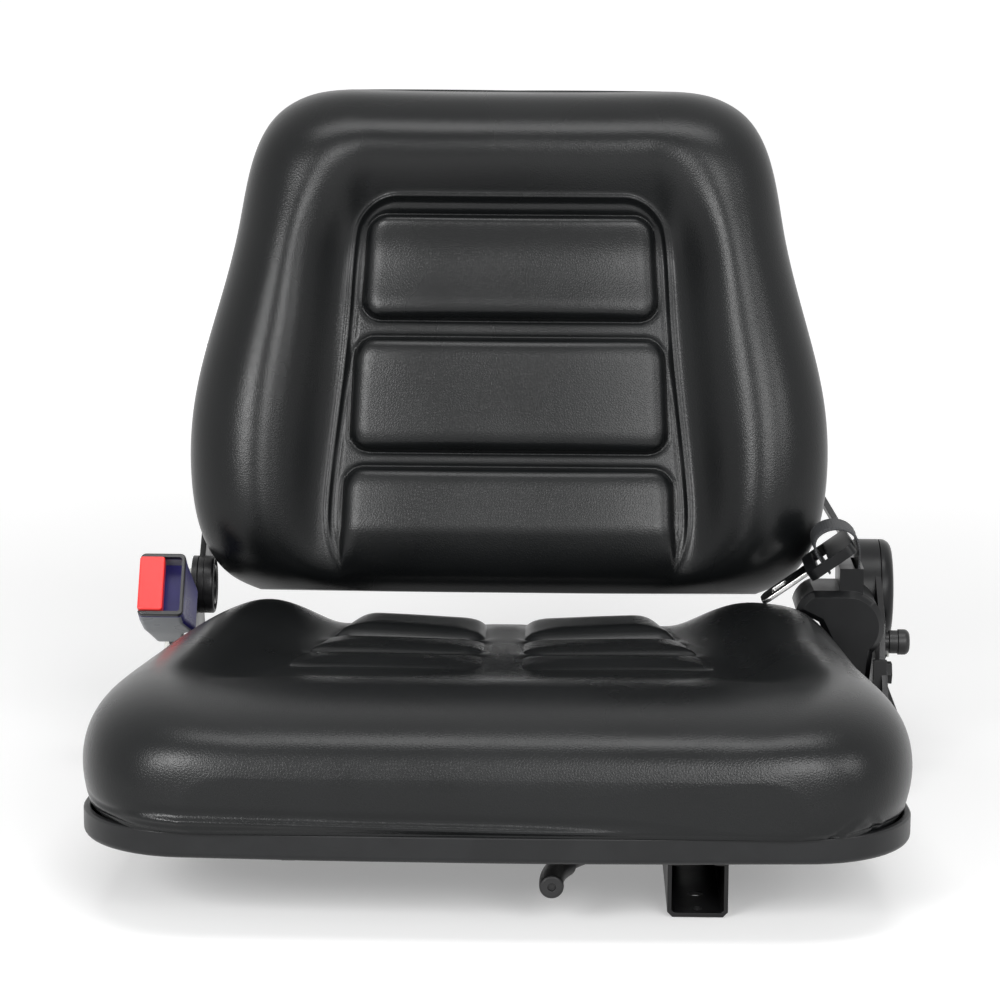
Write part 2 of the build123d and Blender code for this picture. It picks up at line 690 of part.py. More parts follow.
# Backrest arms: hub plates on the pivots, bent strips up behind the shell, flanges screwed to it
HUB_R = HEAD_R - CUP_WALL - 0.2
STRIP_NEAR = SHELL_DEPTH + 2.0
STRIP_DEEP = 30.0
RIGHT_STRIP_NEAR = 28.0
RIGHT_STRIP_DEEP = 20.0
RIGHT_STRIP_X = 203.0
FLANGE_W = (118.0, 170.0)
with BuildPart() as right_backrest_arm:
    with BuildSketch(side(RIGHT_ARM_X)):
        with Locations((AXIS_Y, AXIS_Z)):
            Circle(TEETH_R)
        with BuildLine():
            Polyline(
                (AXIS_Y, AXIS_Z),
                (AXIS_Y + 90 * cos(radians(TEETH_ANGLE - 34)), AXIS_Z + 90 * sin(radians(TEETH_ANGLE - 34))),
                (AXIS_Y + 90 * cos(radians(TEETH_ANGLE)), AXIS_Z + 90 * sin(radians(TEETH_ANGLE))),
                (AXIS_Y + 90 * cos(radians(TEETH_ANGLE + 34)), AXIS_Z + 90 * sin(radians(TEETH_ANGLE + 34))),
                close=True,
            )
        make_face(mode=Mode.INTERSECT)
        with Locations((AXIS_Y, AXIS_Z)):
            with PolarLocations(TEETH_R, 8, TEETH_ANGLE - 28, 7 * TOOTH_PITCH + TOOTH_PITCH):
                RegularPolygon(2.6, 4, mode=Mode.SUBTRACT)
        with Locations((AXIS_Y, AXIS_Z)):
            Circle(HUB_R)
        with BuildLine():
            Polyline(
                back_point(-RIGHT_STRIP_NEAR, 30),
                back_point(-RIGHT_STRIP_NEAR - RIGHT_STRIP_DEEP, 30),
                back_point(-RIGHT_STRIP_NEAR - RIGHT_STRIP_DEEP, -4),
                (AXIS_Y + 14, AXIS_Z - 26),
                (AXIS_Y, AXIS_Z + 32),
                close=True,
            )
        make_face()
        with Locations((AXIS_Y, AXIS_Z)):
            Circle(PIN_R + PIN_FIT, mode=Mode.SUBTRACT)
    extrude(amount=PLATE)
    with BuildSketch(back(-RIGHT_STRIP_NEAR)):
        with BuildLine():
            Polyline(
                (RIGHT_ARM_X + PLATE / 2, -2),
                (RIGHT_ARM_X + PLATE / 2, 4),
                (RIGHT_STRIP_X, 96),
                (RIGHT_STRIP_X, FLANGE_W[1]),
            )
        trace(line_width=PLATE)
    extrude(amount=-RIGHT_STRIP_DEEP)
    with BuildSketch(back(-SHELL_DEPTH)):
        with Locations((RIGHT_STRIP_X, (FLANGE_W[0] + FLANGE_W[1]) / 2)):
            Rectangle(PLATE, FLANGE_W[1] - FLANGE_W[0])
    extrude(amount=SHELL_DEPTH - RIGHT_STRIP_NEAR)
    with BuildSketch(back(-SHELL_DEPTH)):
        with Locations((RIGHT_STRIP_X - 25, (FLANGE_W[0] + FLANGE_W[1]) / 2)):
            RectangleRounded(54, FLANGE_W[1] - FLANGE_W[0], 8)
        with Locations(*ARM_SCREWS):
            Circle(2.7, mode=Mode.SUBTRACT)
    extrude(amount=-PLATE)
right_backrest_arm.part.label = "right_backrest_arm"
export_step(right_backrest_arm.part, "parts/right_backrest_arm.step")

with BuildPart() as left_backrest_arm:
    with BuildSketch(side(LEFT_ARM_X)):
        with Locations((AXIS_Y, AXIS_Z)):
            Circle(LEFT_HEAD_R)
        with BuildLine():
            Polyline(
                back_point(-STRIP_NEAR, 60),
                back_point(-STRIP_NEAR - STRIP_DEEP, 60),
                back_point(-STRIP_NEAR - STRIP_DEEP, 26),
                (AXIS_Y + 12, AXIS_Z - 16),
                (AXIS_Y - 2, AXIS_Z + 18),
                close=True,
            )
        make_face()
        with Locations((AXIS_Y, AXIS_Z)):
            Circle(PIN_R + PIN_FIT, mode=Mode.SUBTRACT)
    extrude(amount=PLATE)
    with BuildSketch(back(-STRIP_NEAR)):
        with BuildLine():
            Polyline((LEFT_ARM_X + 2, 34), (LEFT_ARM_X + 2, FLANGE_W[1]))
        trace(line_width=PLATE)
    extrude(amount=-STRIP_DEEP)
    with BuildSketch(back(-SHELL_DEPTH)):
        with Locations((-183, (FLANGE_W[0] + FLANGE_W[1]) / 2)):
            RectangleRounded(63, FLANGE_W[1] - FLANGE_W[0], 8)
        with Locations(*[(-u, w) for u, w in ARM_SCREWS]):
            Circle(2.7, mode=Mode.SUBTRACT)
    extrude(amount=-PLATE)
left_backrest_arm.part.label = "left_backrest_arm"
export_step(left_backrest_arm.part, "parts/left_backrest_arm.step")

with BuildPart() as arm_screws:
    for hand in (-1, 1):
        with BuildSketch(back(-SHELL_DEPTH - PLATE)):
            with Locations(*[(hand * u, w) for u, w in ARM_SCREWS]):
                Circle(5)
        extrude(amount=-3)
        with BuildSketch(back(-SHELL_DEPTH - PLATE)):
            with Locations(*[(hand * u, w) for u, w in ARM_SCREWS]):
                Circle(2.5)
        extrude(amount=PLATE + SHELL_WALL)
arm_screws.part.label = "arm_screws"
export_step(arm_screws.part, "parts/arm_screws.step")

# Ring on the left hub, dished round the pin
RING = 7.0
with BuildPart() as left_hub_ring:
    with BuildSketch(side(LEFT_ARM_X + PLATE)):
        with Locations((AXIS_Y, AXIS_Z)):
            Circle(LEFT_HEAD_R)
            Circle(11, mode=Mode.SUBTRACT)
    extrude(amount=RING)
    fillet(edges().filter_by(GeomType.CIRCLE).sort_by(Axis.X)[-2:], 2)
    with BuildSketch(side(LEFT_ARM_X + PLATE + RING)):
        with Locations((AXIS_Y, AXIS_Z)):
            Circle(LEFT_HEAD_R - 2.5)
            Circle(13.5, mode=Mode.SUBTRACT)
    extrude(amount=-3, mode=Mode.SUBTRACT)
left_hub_ring.part.label = "left_hub_ring"
export_step(left_hub_ring.part, "parts/left_hub_ring.step")

# Domed cap over the right hub, open where the arm and its toothed sector leave it
CAP_X = RIGHT_ARM_X + PLATE
CAP_DOME = 4.6
with BuildPart() as recliner_cap:
    with BuildSketch(side(RIGHT_ARM_X + RUN_GAP)):
        with Locations((AXIS_Y, AXIS_Z)):
            Circle(HEAD_R)
    extrude(amount=PLATE - RUN_GAP + CAP_DOME)
    fillet(faces().sort_by(Axis.X)[-1].edges(), 7)
    with BuildSketch(side(RIGHT_ARM_X)):
        with Locations((AXIS_Y, AXIS_Z)):
            Circle(HEAD_R - CUP_WALL)
    extrude(amount=PLATE, mode=Mode.SUBTRACT)
    with BuildSketch(side(CAP_X)):
        with Locations((AXIS_Y, AXIS_Z)):
            Circle(HUB_R - 9)
    extrude(amount=CAP_DOME - 1.8, mode=Mode.SUBTRACT)
    add(right_backrest_arm.part, mode=Mode.SUBTRACT)
recliner_cap.part.label = "recliner_cap"
export_step(recliner_cap.part, "parts/recliner_cap.step")

# Recline lever: pawl behind its pin, handle rod in front, drawn just out of the teeth
KNOB_AT = (AXIS_Y - 50.0, AXIS_Z - 25.0)
KNOB_R = 8.7
KNOB_NECK = 6.0
KNOB_LENGTH = 14.0
with BuildPart() as recline_lever:
    with BuildSketch(side(RIGHT_ARM_X)):
        with Locations(PAWL_PIN):
            Circle(6.6)
        with BuildLine():
            Polyline(
                (PAWL_PIN[0] + 3, PAWL_PIN[1] + 4.5),
                (PAWL_PIN[0] + 14, PAWL_PIN[1] - 2.6),
                (PAWL_PIN[0] + 18, PAWL_PIN[1] - 7),
                (PAWL_PIN[0] + 15, PAWL_PIN[1] - 11),
                (PAWL_PIN[0] - 1, PAWL_PIN[1] - 6.5),
                close=True,
            )
        make_face()
        with BuildLine():
            Line(PAWL_PIN, KNOB_AT)
        trace(line_width=11)
        with Locations(KNOB_AT):
            Circle(6.5)
        with Locations(PAWL_PIN):
            Circle(PAWL_PIN_R + PIN_FIT, mode=Mode.SUBTRACT)
    extrude(amount=PLATE)
    with BuildSketch(side(RIGHT_ARM_X + PLATE)):
        with Locations(KNOB_AT):
            Circle(4.5)
    extrude(amount=KNOB_LENGTH - 3)
recline_lever.part.label = "recline_lever"
export_step(recline_lever.part, "parts/recline_lever.step")

with BuildPart() as recline_knob:
    with BuildSketch(side(RIGHT_ARM_X + PLATE)):
        with Locations(KNOB_AT):
            Circle(KNOB_R - 0.8)
    extrude(amount=KNOB_NECK)
    with BuildSketch(side(RIGHT_ARM_X + PLATE + KNOB_NECK)):
        with Locations(KNOB_AT):
            Circle(KNOB_R)
    extrude(amount=KNOB_LENGTH - KNOB_NECK)
    fillet(faces().sort_by(Axis.X)[-1].edges(), 4)
    with BuildSketch(side(RIGHT_ARM_X + PLATE)):
        with Locations(KNOB_AT):
            Circle(4.5)
    extrude(amount=KNOB_LENGTH - 3, mode=Mode.SUBTRACT)
recline_knob.part.label = "recline_knob"
export_step(recline_knob.part, "parts/recline_knob.step")

with BuildPart() as pawl_pin:
    with BuildSketch(side(RIGHT_PLATE_X)):
        with Locations(PAWL_PIN):
            Circle(PAWL_PIN_R)
    extrude(amount=PLATE + ARM_GAP + PLATE + RUN_GAP)
    with BuildSketch(side(RIGHT_ARM_X + PLATE + RUN_GAP)):
        with Locations(PAWL_PIN):
            Circle(5.6)
    extrude(amount=1.6)
pawl_pin.part.label = "pawl_pin"
export_step(pawl_pin.part, "parts/pawl_pin.step")

# Slide lever: latch plate with three teeth beside the slotted rail, bent rod to the front
TOOTH_REACH = RAIL_X - RAIL_WIDTH / 2 - 0.6
SLOT_MIDDLE = RIGHT_RAIL_SETBACK + 165
GRIP_LENGTH = 55.0
with BuildPart() as slide_lever:
    with BuildSketch(level(LEVER_Z - 2)):
        with Locations(LEVER_PIVOT):
            Circle(12)
        with BuildLine():
            Polyline((70, 184), (90, 174), (96, SLOT_MIDDLE - 24), (96, SLOT_MIDDLE + 24), (86, SLOT_MIDDLE + 24), close=True)
        make_face()
        with Locations(((90 + TOOTH_REACH) / 2, SLOT_MIDDLE + LATCH_PITCH / 2)):
            with GridLocations(0, LATCH_PITCH, 1, 3):
                Rectangle(TOOTH_REACH - 90, 5)
        with Locations(LEVER_PIVOT):
            Circle(4 + PIN_FIT, mode=Mode.SUBTRACT)
    extrude(amount=4)
    with BuildLine() as lever_path:
        Spline(
            level(0).from_local_coords(Vector(78, 170, LEVER_Z)),
            level(0).from_local_coords(Vector(58, 122, LEVER_Z + 3)),
            level(0).from_local_coords(Vector(39, 74, LEVER_Z + 8)),
            level(0).from_local_coords(Vector(*GRIP_END)),
        )
    with BuildSketch(Plane(origin=lever_path.line @ 0, z_dir=lever_path.line % 0)):
        Circle(5)
    sweep(path=lever_path.line)
slide_lever.part.label = "slide_lever"
export_step(slide_lever.part, "parts/slide_lever.step")

# Rubber grip on the rod's end
with BuildPart() as slide_lever_grip:
    with BuildLine() as grip_path:
        Spline(
            level(0).from_local_coords(Vector(78, 170, LEVER_Z)),
            level(0).from_local_coords(Vector(58, 122, LEVER_Z + 3)),
            level(0).from_local_coords(Vector(39, 74, LEVER_Z + 8)),
            level(0).from_local_coords(Vector(*GRIP_END)),
        )
    grip_plane = Plane(origin=grip_path.line @ 1, z_dir=grip_path.line % 1)
    with BuildSketch(grip_plane):
        Circle(GRIP_R)
    extrude(amount=4)
    fillet(edges().filter_by(GeomType.CIRCLE).sort_by(Axis.Y)[:1], 2)
    with BuildSketch(grip_plane.offset(4)):
        Circle(2.4)
    extrude(amount=-2, mode=Mode.SUBTRACT)
    with BuildLine() as sleeve_path:
        add(grip_path.line.edges()[0].trim(0.66, 1.0))
    with BuildSketch(Plane(origin=sleeve_path.line @ 0, z_dir=sleeve_path.line % 0)):
        Circle(GRIP_R)
        Circle(5, mode=Mode.SUBTRACT)
    sweep(path=sleeve_path.line)
slide_lever_grip.part.label = "slide_lever_grip"
export_step(slide_lever_grip.part, "parts/slide_lever_grip.step")

with BuildPart() as lever_pivot_bolt:
    with BuildSketch(level(PAN_FLOOR)):
        with Locations(LEVER_PIVOT):
            Circle(4)
    extrude(amount=LEVER_Z - 2 - RUN_GAP - PAN_FLOOR)
    with BuildSketch(level(0)):
        with Locations(LEVER_PIVOT):
            Circle(9)
    extrude(amount=LEVER_Z + 2 + RUN_GAP)
    with BuildSketch(level(LEVER_Z - 2 - RUN_GAP)):
        with Locations(LEVER_PIVOT):
            RegularPolygon(7.5, 6)
    extrude(amount=-5)
lever_pivot_bolt.part.label = "lever_pivot_bolt"
export_step(lever_pivot_bolt.part, "parts/lever_pivot_bolt.step")

# Belt retractor: frame plate on the bracket, arched cover with a webbing slot in its top
RETRACTOR_FRONT = BELT_Y - RETRACTOR_DEPTH / 2
FRAME_X = RIGHT_PLATE_X - 3.0
SLOT_X = 236.0
with BuildPart() as retractor_frame:
    with BuildSketch(side(FRAME_X)):
        with Locations((BELT_Y + 3, 36)):
            RectangleRounded(40, 58, 6)
        with Locations(RETRACTOR_BOLT):
            Circle(5, mode=Mode.SUBTRACT)
    extrude(amount=RIGHT_PLATE_X - FRAME_X)
retractor_frame.part.label = "retractor_frame"
export_step(retractor_frame.part, "parts/retractor_frame.step")

COVER_BAND = 5.0
DRUM_AT = (230.0, 61.5)
DRUM_R = 24.5
GUIDE_TOP = 101.0


def drum_point(angle):
    """Point of the cover's round right edge at an angle in degrees."""
    return (DRUM_AT[0] + DRUM_R * cos(radians(angle)), DRUM_AT[1] + DRUM_R * sin(radians(angle)))


def cover_outline():
    """Front view of the retractor cover: flat top, round right edge, lower corner cut back to clear the cushion."""
    with BuildSketch() as outline:
        with BuildLine():
            Polyline(drum_point(-45), (244, 10), (238, 10), (222, 28), (221.5, 42), (210.5, 64.5), (195, 72))
            ThreePointArc((195, 72), (198.5, 80), (207, DRUM_AT[1] + DRUM_R))
            Line((207, DRUM_AT[1] + DRUM_R), drum_point(90))
            ThreePointArc(drum_point(90), drum_point(22.5), drum_point(-45))
        make_face()
    return outline.sketch


with BuildPart() as retractor_cover:
    with BuildSketch(front(RETRACTOR_FRONT + COVER_BAND)):
        add(cover_outline())
        with Locations((FRAME_X + 20, 50)):
            Rectangle(40, 120, mode=Mode.SUBTRACT)
    extrude(amount=COVER_BAND - RETRACTOR_DEPTH)
    with BuildSketch(front(RETRACTOR_FRONT + COVER_BAND)):
        add(cover_outline())
    extrude(amount=COVER_BAND, taper=38)
    # Webbing guide on the top
    with BuildSketch(front(RETRACTOR_FRONT + COVER_BAND)):
        with Locations((SLOT_X - 4, (GUIDE_TOP + 76) / 2)):
            Rectangle(16, GUIDE_TOP - 76)
    extrude(amount=COVER_BAND - RETRACTOR_DEPTH)
    with BuildSketch(level(70)):
        with Locations((SLOT_X, BELT_Y + 2.5)):
            Rectangle(4, WEB_WIDTH - 9)
    extrude(amount=40, mode=Mode.SUBTRACT)
retractor_cover.part.label = "retractor_cover"
export_step(retractor_cover.part, "parts/retractor_cover.step")

with BuildPart() as retractor_bolt:
    with BuildSketch(side(FRAME_X)):
        with Locations(RETRACTOR_BOLT):
            Circle(5)
    extrude(amount=RIGHT_PLATE_X + PLATE - FRAME_X)
    with BuildSketch(side(RIGHT_PLATE_X + PLATE)):
        with Locations(RETRACTOR_BOLT):
            RegularPolygon(8, 6)
    extrude(amount=5)
retractor_bolt.part.label = "retractor_bolt"
export_step(retractor_bolt.part, "parts/retractor_bolt.step")

# Tongue: plane along the blade, its bar end at the webbing loop
TONGUE_END = (229.0, 115.0)
TONGUE_TIP = (173.0, 75.0)
tongue_angle = atan2(TONGUE_TIP[1] - TONGUE_END[1], TONGUE_TIP[0] - TONGUE_END[0])
tongue_length = ((TONGUE_TIP[0] - TONGUE_END[0]) ** 2 + (TONGUE_TIP[1] - TONGUE_END[1]) ** 2) ** 0.5
GRIP_REACH = 32.0
TONGUE_SLOT = 19.5
tongue_plane = Plane(
    origin=(TONGUE_END[0], PAN_FRONT + BELT_Y, PAN_Z + TONGUE_END[1]),
    x_dir=(cos(tongue_angle), 0, sin(tongue_angle)),
    z_dir=(sin(tongue_angle), 0, -cos(tongue_angle)),
)
with BuildPart() as belt_tongue:
    with BuildSketch(tongue_plane):
        with Locations(((GRIP_REACH + tongue_length) / 2, 0)):
            Rectangle(tongue_length - GRIP_REACH, 24)
        fillet(vertices().sort_by(Axis.X)[-2:], 7)
        with Locations((tongue_length - 15, 0)):
            RectangleRounded(11, 12, 2, mode=Mode.SUBTRACT)
    extrude(amount=TONGUE_GAUGE / 2, both=True)
belt_tongue.part.label = "belt_tongue"
export_step(belt_tongue.part, "parts/belt_tongue.step")

with BuildPart() as tongue_grip:
    with BuildSketch(tongue_plane):
        with Locations((GRIP_REACH / 2 - 2, 0)):
            Rectangle(GRIP_REACH + 4, WEB_WIDTH + 9)
        fillet(vertices(), 6)
        with Locations((TONGUE_SLOT, 0)):
            Rectangle(9, WEB_WIDTH + 1, mode=Mode.SUBTRACT)
    extrude(amount=3.5, both=True)
    fillet(edges().filter_by(GeomType.LINE).group_by(Edge.length)[-1], 1.2)
tongue_grip.part.label = "tongue_grip"
export_step(tongue_grip.part, "parts/tongue_grip.step")

# Webbing: out of the guide, over the tongue's bar in a loose loop and down through the tongue
slot_x = TONGUE_END[0] + TONGUE_SLOT * cos(tongue_angle)
slot_z = TONGUE_END[1] + TONGUE_SLOT * sin(tongue_angle)
with BuildPart() as belt_webbing:
    with BuildSketch(front(BELT_Y + 2.5 - (WEB_WIDTH - 10) / 2)):
        with BuildLine():
            Spline(
                (SLOT_X, 70.5),
                (SLOT_X, 86),
                (SLOT_X + 0.8, 104),
                (SLOT_X - 1, 117),
                (228, 125.5),
                (217, 125.5),
                (208.4, 119),
                (208.6, 110.6),
                (slot_x, slot_z),
                (slot_x + 4.6, slot_z - 6.5),
            )
        trace(line_width=WEB_GAUGE)
    extrude(amount=-(WEB_WIDTH - 10))
belt_webbing.part.label = "belt_webbing"
export_step(belt_webbing.part, "parts/belt_webbing.step")

# Buckle: stalk strip on the anchor bolt, tapered housing, bezel and press button
lean_up = radians(BUCKLE_RISE)


def buckle(depth):
    """Plane across the buckle at a distance in front of its face: local y runs up the face."""
    return Plane(
        origin=(
            BUCKLE_FACE[0],
            PAN_FRONT + BUCKLE_FACE[1] - depth * cos(lean_up),
            PAN_Z + BUCKLE_FACE[2] + depth * sin(lean_up),
        ),
        x_dir=(1, 0, 0),
        z_dir=(0, -cos(lean_up), sin(lean_up)),
    )


BEZEL_DEPTH = 4.0
CHAMBER_DEPTH = 10.0
BUTTON_WIDE = 17.0
# Housing sections: depth, inner side, outer side, lower edge, upper edge
HOUSING = (
    (BEZEL_DEPTH, BUCKLE_THICK / 2, BUCKLE_THICK / 2, BUCKLE_WIDE / 2, BUCKLE_WIDE / 2),
    (14.0, BUCKLE_THICK / 2 + 0.4, BUCKLE_THICK / 2, BUCKLE_WIDE / 2, BUCKLE_WIDE / 2 - 0.8),
    (30.0, BUCKLE_THICK / 2 + 6.0, BUCKLE_THICK / 2 - 1.0, BUCKLE_WIDE / 2 - 1.0, 11.0),
    (40.0, BUCKLE_THICK / 2 - 2.6, BUCKLE_THICK / 2 - 2.5, BUCKLE_WIDE / 2 - 3.0, 10.0),
    (BUCKLE_LENGTH, BUCKLE_THICK / 2 - 6.0, BUCKLE_THICK / 2 - 5.5, BUCKLE_WIDE / 2 - 7.0, 10.0),
)
chamber_tall = BUCKLE_WIDE - 2 * (BEZEL + 0.5)
chamber_x = (-BUCKLE_THICK / 2 - 3, BUCKLE_THICK / 2 - BEZEL)
with BuildPart() as buckle_housing:
    for depth, inner, outer, low, high in HOUSING:
        with BuildSketch(buckle(-depth)):
            with Locations(((inner - outer) / 2, (high - low) / 2)):
                RectangleRounded(inner + outer, high + low, 4)
    loft(ruled=True)
    # Chamber for the button and the tongue, open on the outer side
    with BuildSketch(buckle(-BEZEL_DEPTH)):
        with Locations((sum(chamber_x) / 2, 0)):
            RectangleRounded(chamber_x[1] - chamber_x[0], chamber_tall, 2)
    extrude(amount=-CHAMBER_DEPTH, mode=Mode.SUBTRACT)
buckle_housing.part.label = "buckle_housing"
export_step(buckle_housing.part, "parts/buckle_housing.step")

with BuildPart() as buckle_bezel:
    with BuildSketch(buckle(-BEZEL_DEPTH)):
        RectangleRounded(BUCKLE_THICK, BUCKLE_WIDE, 4)
    extrude(amount=BEZEL_DEPTH)
    fillet(faces().sort_by(Axis.Y)[0].edges(), 1.5)
    with BuildSketch(buckle(-BEZEL_DEPTH)):
        with Locations((sum(chamber_x) / 2, 0)):
            RectangleRounded(chamber_x[1] - chamber_x[0], chamber_tall, 2)
    extrude(amount=BEZEL_DEPTH + 1, mode=Mode.SUBTRACT)
buckle_bezel.part.label = "buckle_bezel"
export_step(buckle_bezel.part, "parts/buckle_bezel.step")

with BuildPart() as buckle_button:
    with BuildSketch(buckle(2)):
        with Locations(((BUTTON_WIDE - BUCKLE_THICK) / 2, 0)):
            RectangleRounded(BUTTON_WIDE, chamber_tall - 2 * RUN_GAP, 2)
    extrude(amount=-(CHAMBER_DEPTH + BEZEL_DEPTH + 2 - BUTTON_TRAVEL - 1))
    fillet(faces().sort_by(Axis.Y)[0].edges(), 1.2)
buckle_button.part.label = "buckle_button"
export_step(buckle_button.part, "parts/buckle_button.step")

STALK_GAUGE = 3.0
stalk_end = (
    BUCKLE_FACE[1] + BUCKLE_LENGTH * cos(lean_up),
    BUCKLE_FACE[2] - BUCKLE_LENGTH * sin(lean_up),
)
with BuildPart() as buckle_stalk:
    with BuildSketch(side(BUCKLE_FACE[0] - STALK_GAUGE / 2)):
        with BuildLine():
            Line(stalk_end, ANCHOR)
        trace(line_width=24)
        with Locations(ANCHOR):
            Circle(14)
            Circle(5 + PIN_FIT, mode=Mode.SUBTRACT)
    extrude(amount=STALK_GAUGE)
buckle_stalk.part.label = "buckle_stalk"
export_step(buckle_stalk.part, "parts/buckle_stalk.step")

with BuildPart() as buckle_anchor_bolt:
    with BuildSketch(side(BUCKLE_FACE[0] - STALK_GAUGE / 2 - RUN_GAP)):
        with Locations(ANCHOR):
            RegularPolygon(9, 6)
    extrude(amount=-6)
    with BuildSketch(side(BUCKLE_FACE[0] - STALK_GAUGE / 2 - RUN_GAP)):
        with Locations(ANCHOR):
            Circle(5)
    extrude(amount=LEFT_PLATE_X + PLATE + 2 - (BUCKLE_FACE[0] - STALK_GAUGE / 2 - RUN_GAP))
    with BuildSketch(side(BUCKLE_FACE[0] + STALK_GAUGE / 2 + RUN_GAP)):
        with Locations(ANCHOR):
            Circle(9)
    extrude(amount=LEFT_PLATE_X - (BUCKLE_FACE[0] + STALK_GAUGE / 2 + RUN_GAP))
    with BuildSketch(side(LEFT_PLATE_X + PLATE)):
        with Locations(ANCHOR):
            RegularPolygon(8, 6)
    extrude(amount=6)
buckle_anchor_bolt.part.label = "buckle_anchor_bolt"
export_step(buckle_anchor_bolt.part, "parts/buckle_anchor_bolt.step")
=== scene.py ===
"""Tractor seat: moulded vinyl cushions on a sliding pan, a reclining back and a lap belt, in metres."""

import json
import logging
import math
from dataclasses import dataclass
from enum import Enum
from typing import Dict, List, Optional, Sequence, Tuple, Union

import bmesh
import bpy
import numpy as np
from mathutils import Euler, Matrix, Vector


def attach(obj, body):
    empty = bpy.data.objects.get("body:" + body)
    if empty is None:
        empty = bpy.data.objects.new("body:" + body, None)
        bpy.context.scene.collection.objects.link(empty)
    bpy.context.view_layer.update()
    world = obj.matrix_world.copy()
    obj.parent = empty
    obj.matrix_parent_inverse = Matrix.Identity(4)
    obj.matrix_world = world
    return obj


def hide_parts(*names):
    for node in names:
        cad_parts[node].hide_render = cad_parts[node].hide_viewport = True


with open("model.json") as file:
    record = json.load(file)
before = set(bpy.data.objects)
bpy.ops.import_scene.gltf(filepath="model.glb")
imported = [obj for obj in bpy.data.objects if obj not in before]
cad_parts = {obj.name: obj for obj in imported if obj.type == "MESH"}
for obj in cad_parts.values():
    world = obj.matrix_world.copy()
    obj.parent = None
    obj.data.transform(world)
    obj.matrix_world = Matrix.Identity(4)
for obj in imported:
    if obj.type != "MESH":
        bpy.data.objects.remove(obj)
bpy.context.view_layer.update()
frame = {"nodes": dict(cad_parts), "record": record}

LOG = logging.getLogger("seat")
MM = 0.001
PAN_FRONT = -215.0
PAN_Z = 48.0

Colour = Tuple[float, float, float]
Point = Tuple[float, float, float]


class Wire:
    """A shader value that takes part in sums and products."""

    def __init__(self, sheet: "Sheet", socket: bpy.types.NodeSocket) -> None:
        """Keeps the sheet and the socket that gives the value."""
        self.sheet = sheet
        self.socket = socket

    def __add__(self, other: "Value") -> "Wire":
        """Sum."""
        return self.sheet.math("ADD", self, other)

    def __radd__(self, other: "Value") -> "Wire":
        """Sum, number first."""
        return self.sheet.math("ADD", other, self)

    def __sub__(self, other: "Value") -> "Wire":
        """Difference."""
        return self.sheet.math("SUBTRACT", self, other)

    def __rsub__(self, other: "Value") -> "Wire":
        """Difference, number first."""
        return self.sheet.math("SUBTRACT", other, self)

    def __mul__(self, other: "Value") -> "Wire":
        """Product."""
        return self.sheet.math("MULTIPLY", self, other)

    def __rmul__(self, other: "Value") -> "Wire":
        """Product, number first."""
        return self.sheet.math("MULTIPLY", other, self)

    def __truediv__(self, other: "Value") -> "Wire":
        """Quotient."""
        return self.sheet.math("DIVIDE", self, other)

    def __rtruediv__(self, other: "Value") -> "Wire":
        """Quotient, number first."""
        return self.sheet.math("DIVIDE", other, self)

    def __pow__(self, other: "Value") -> "Wire":
        """Power."""
        return self.sheet.math("POWER", self, other)


Value = Union[Wire, float]


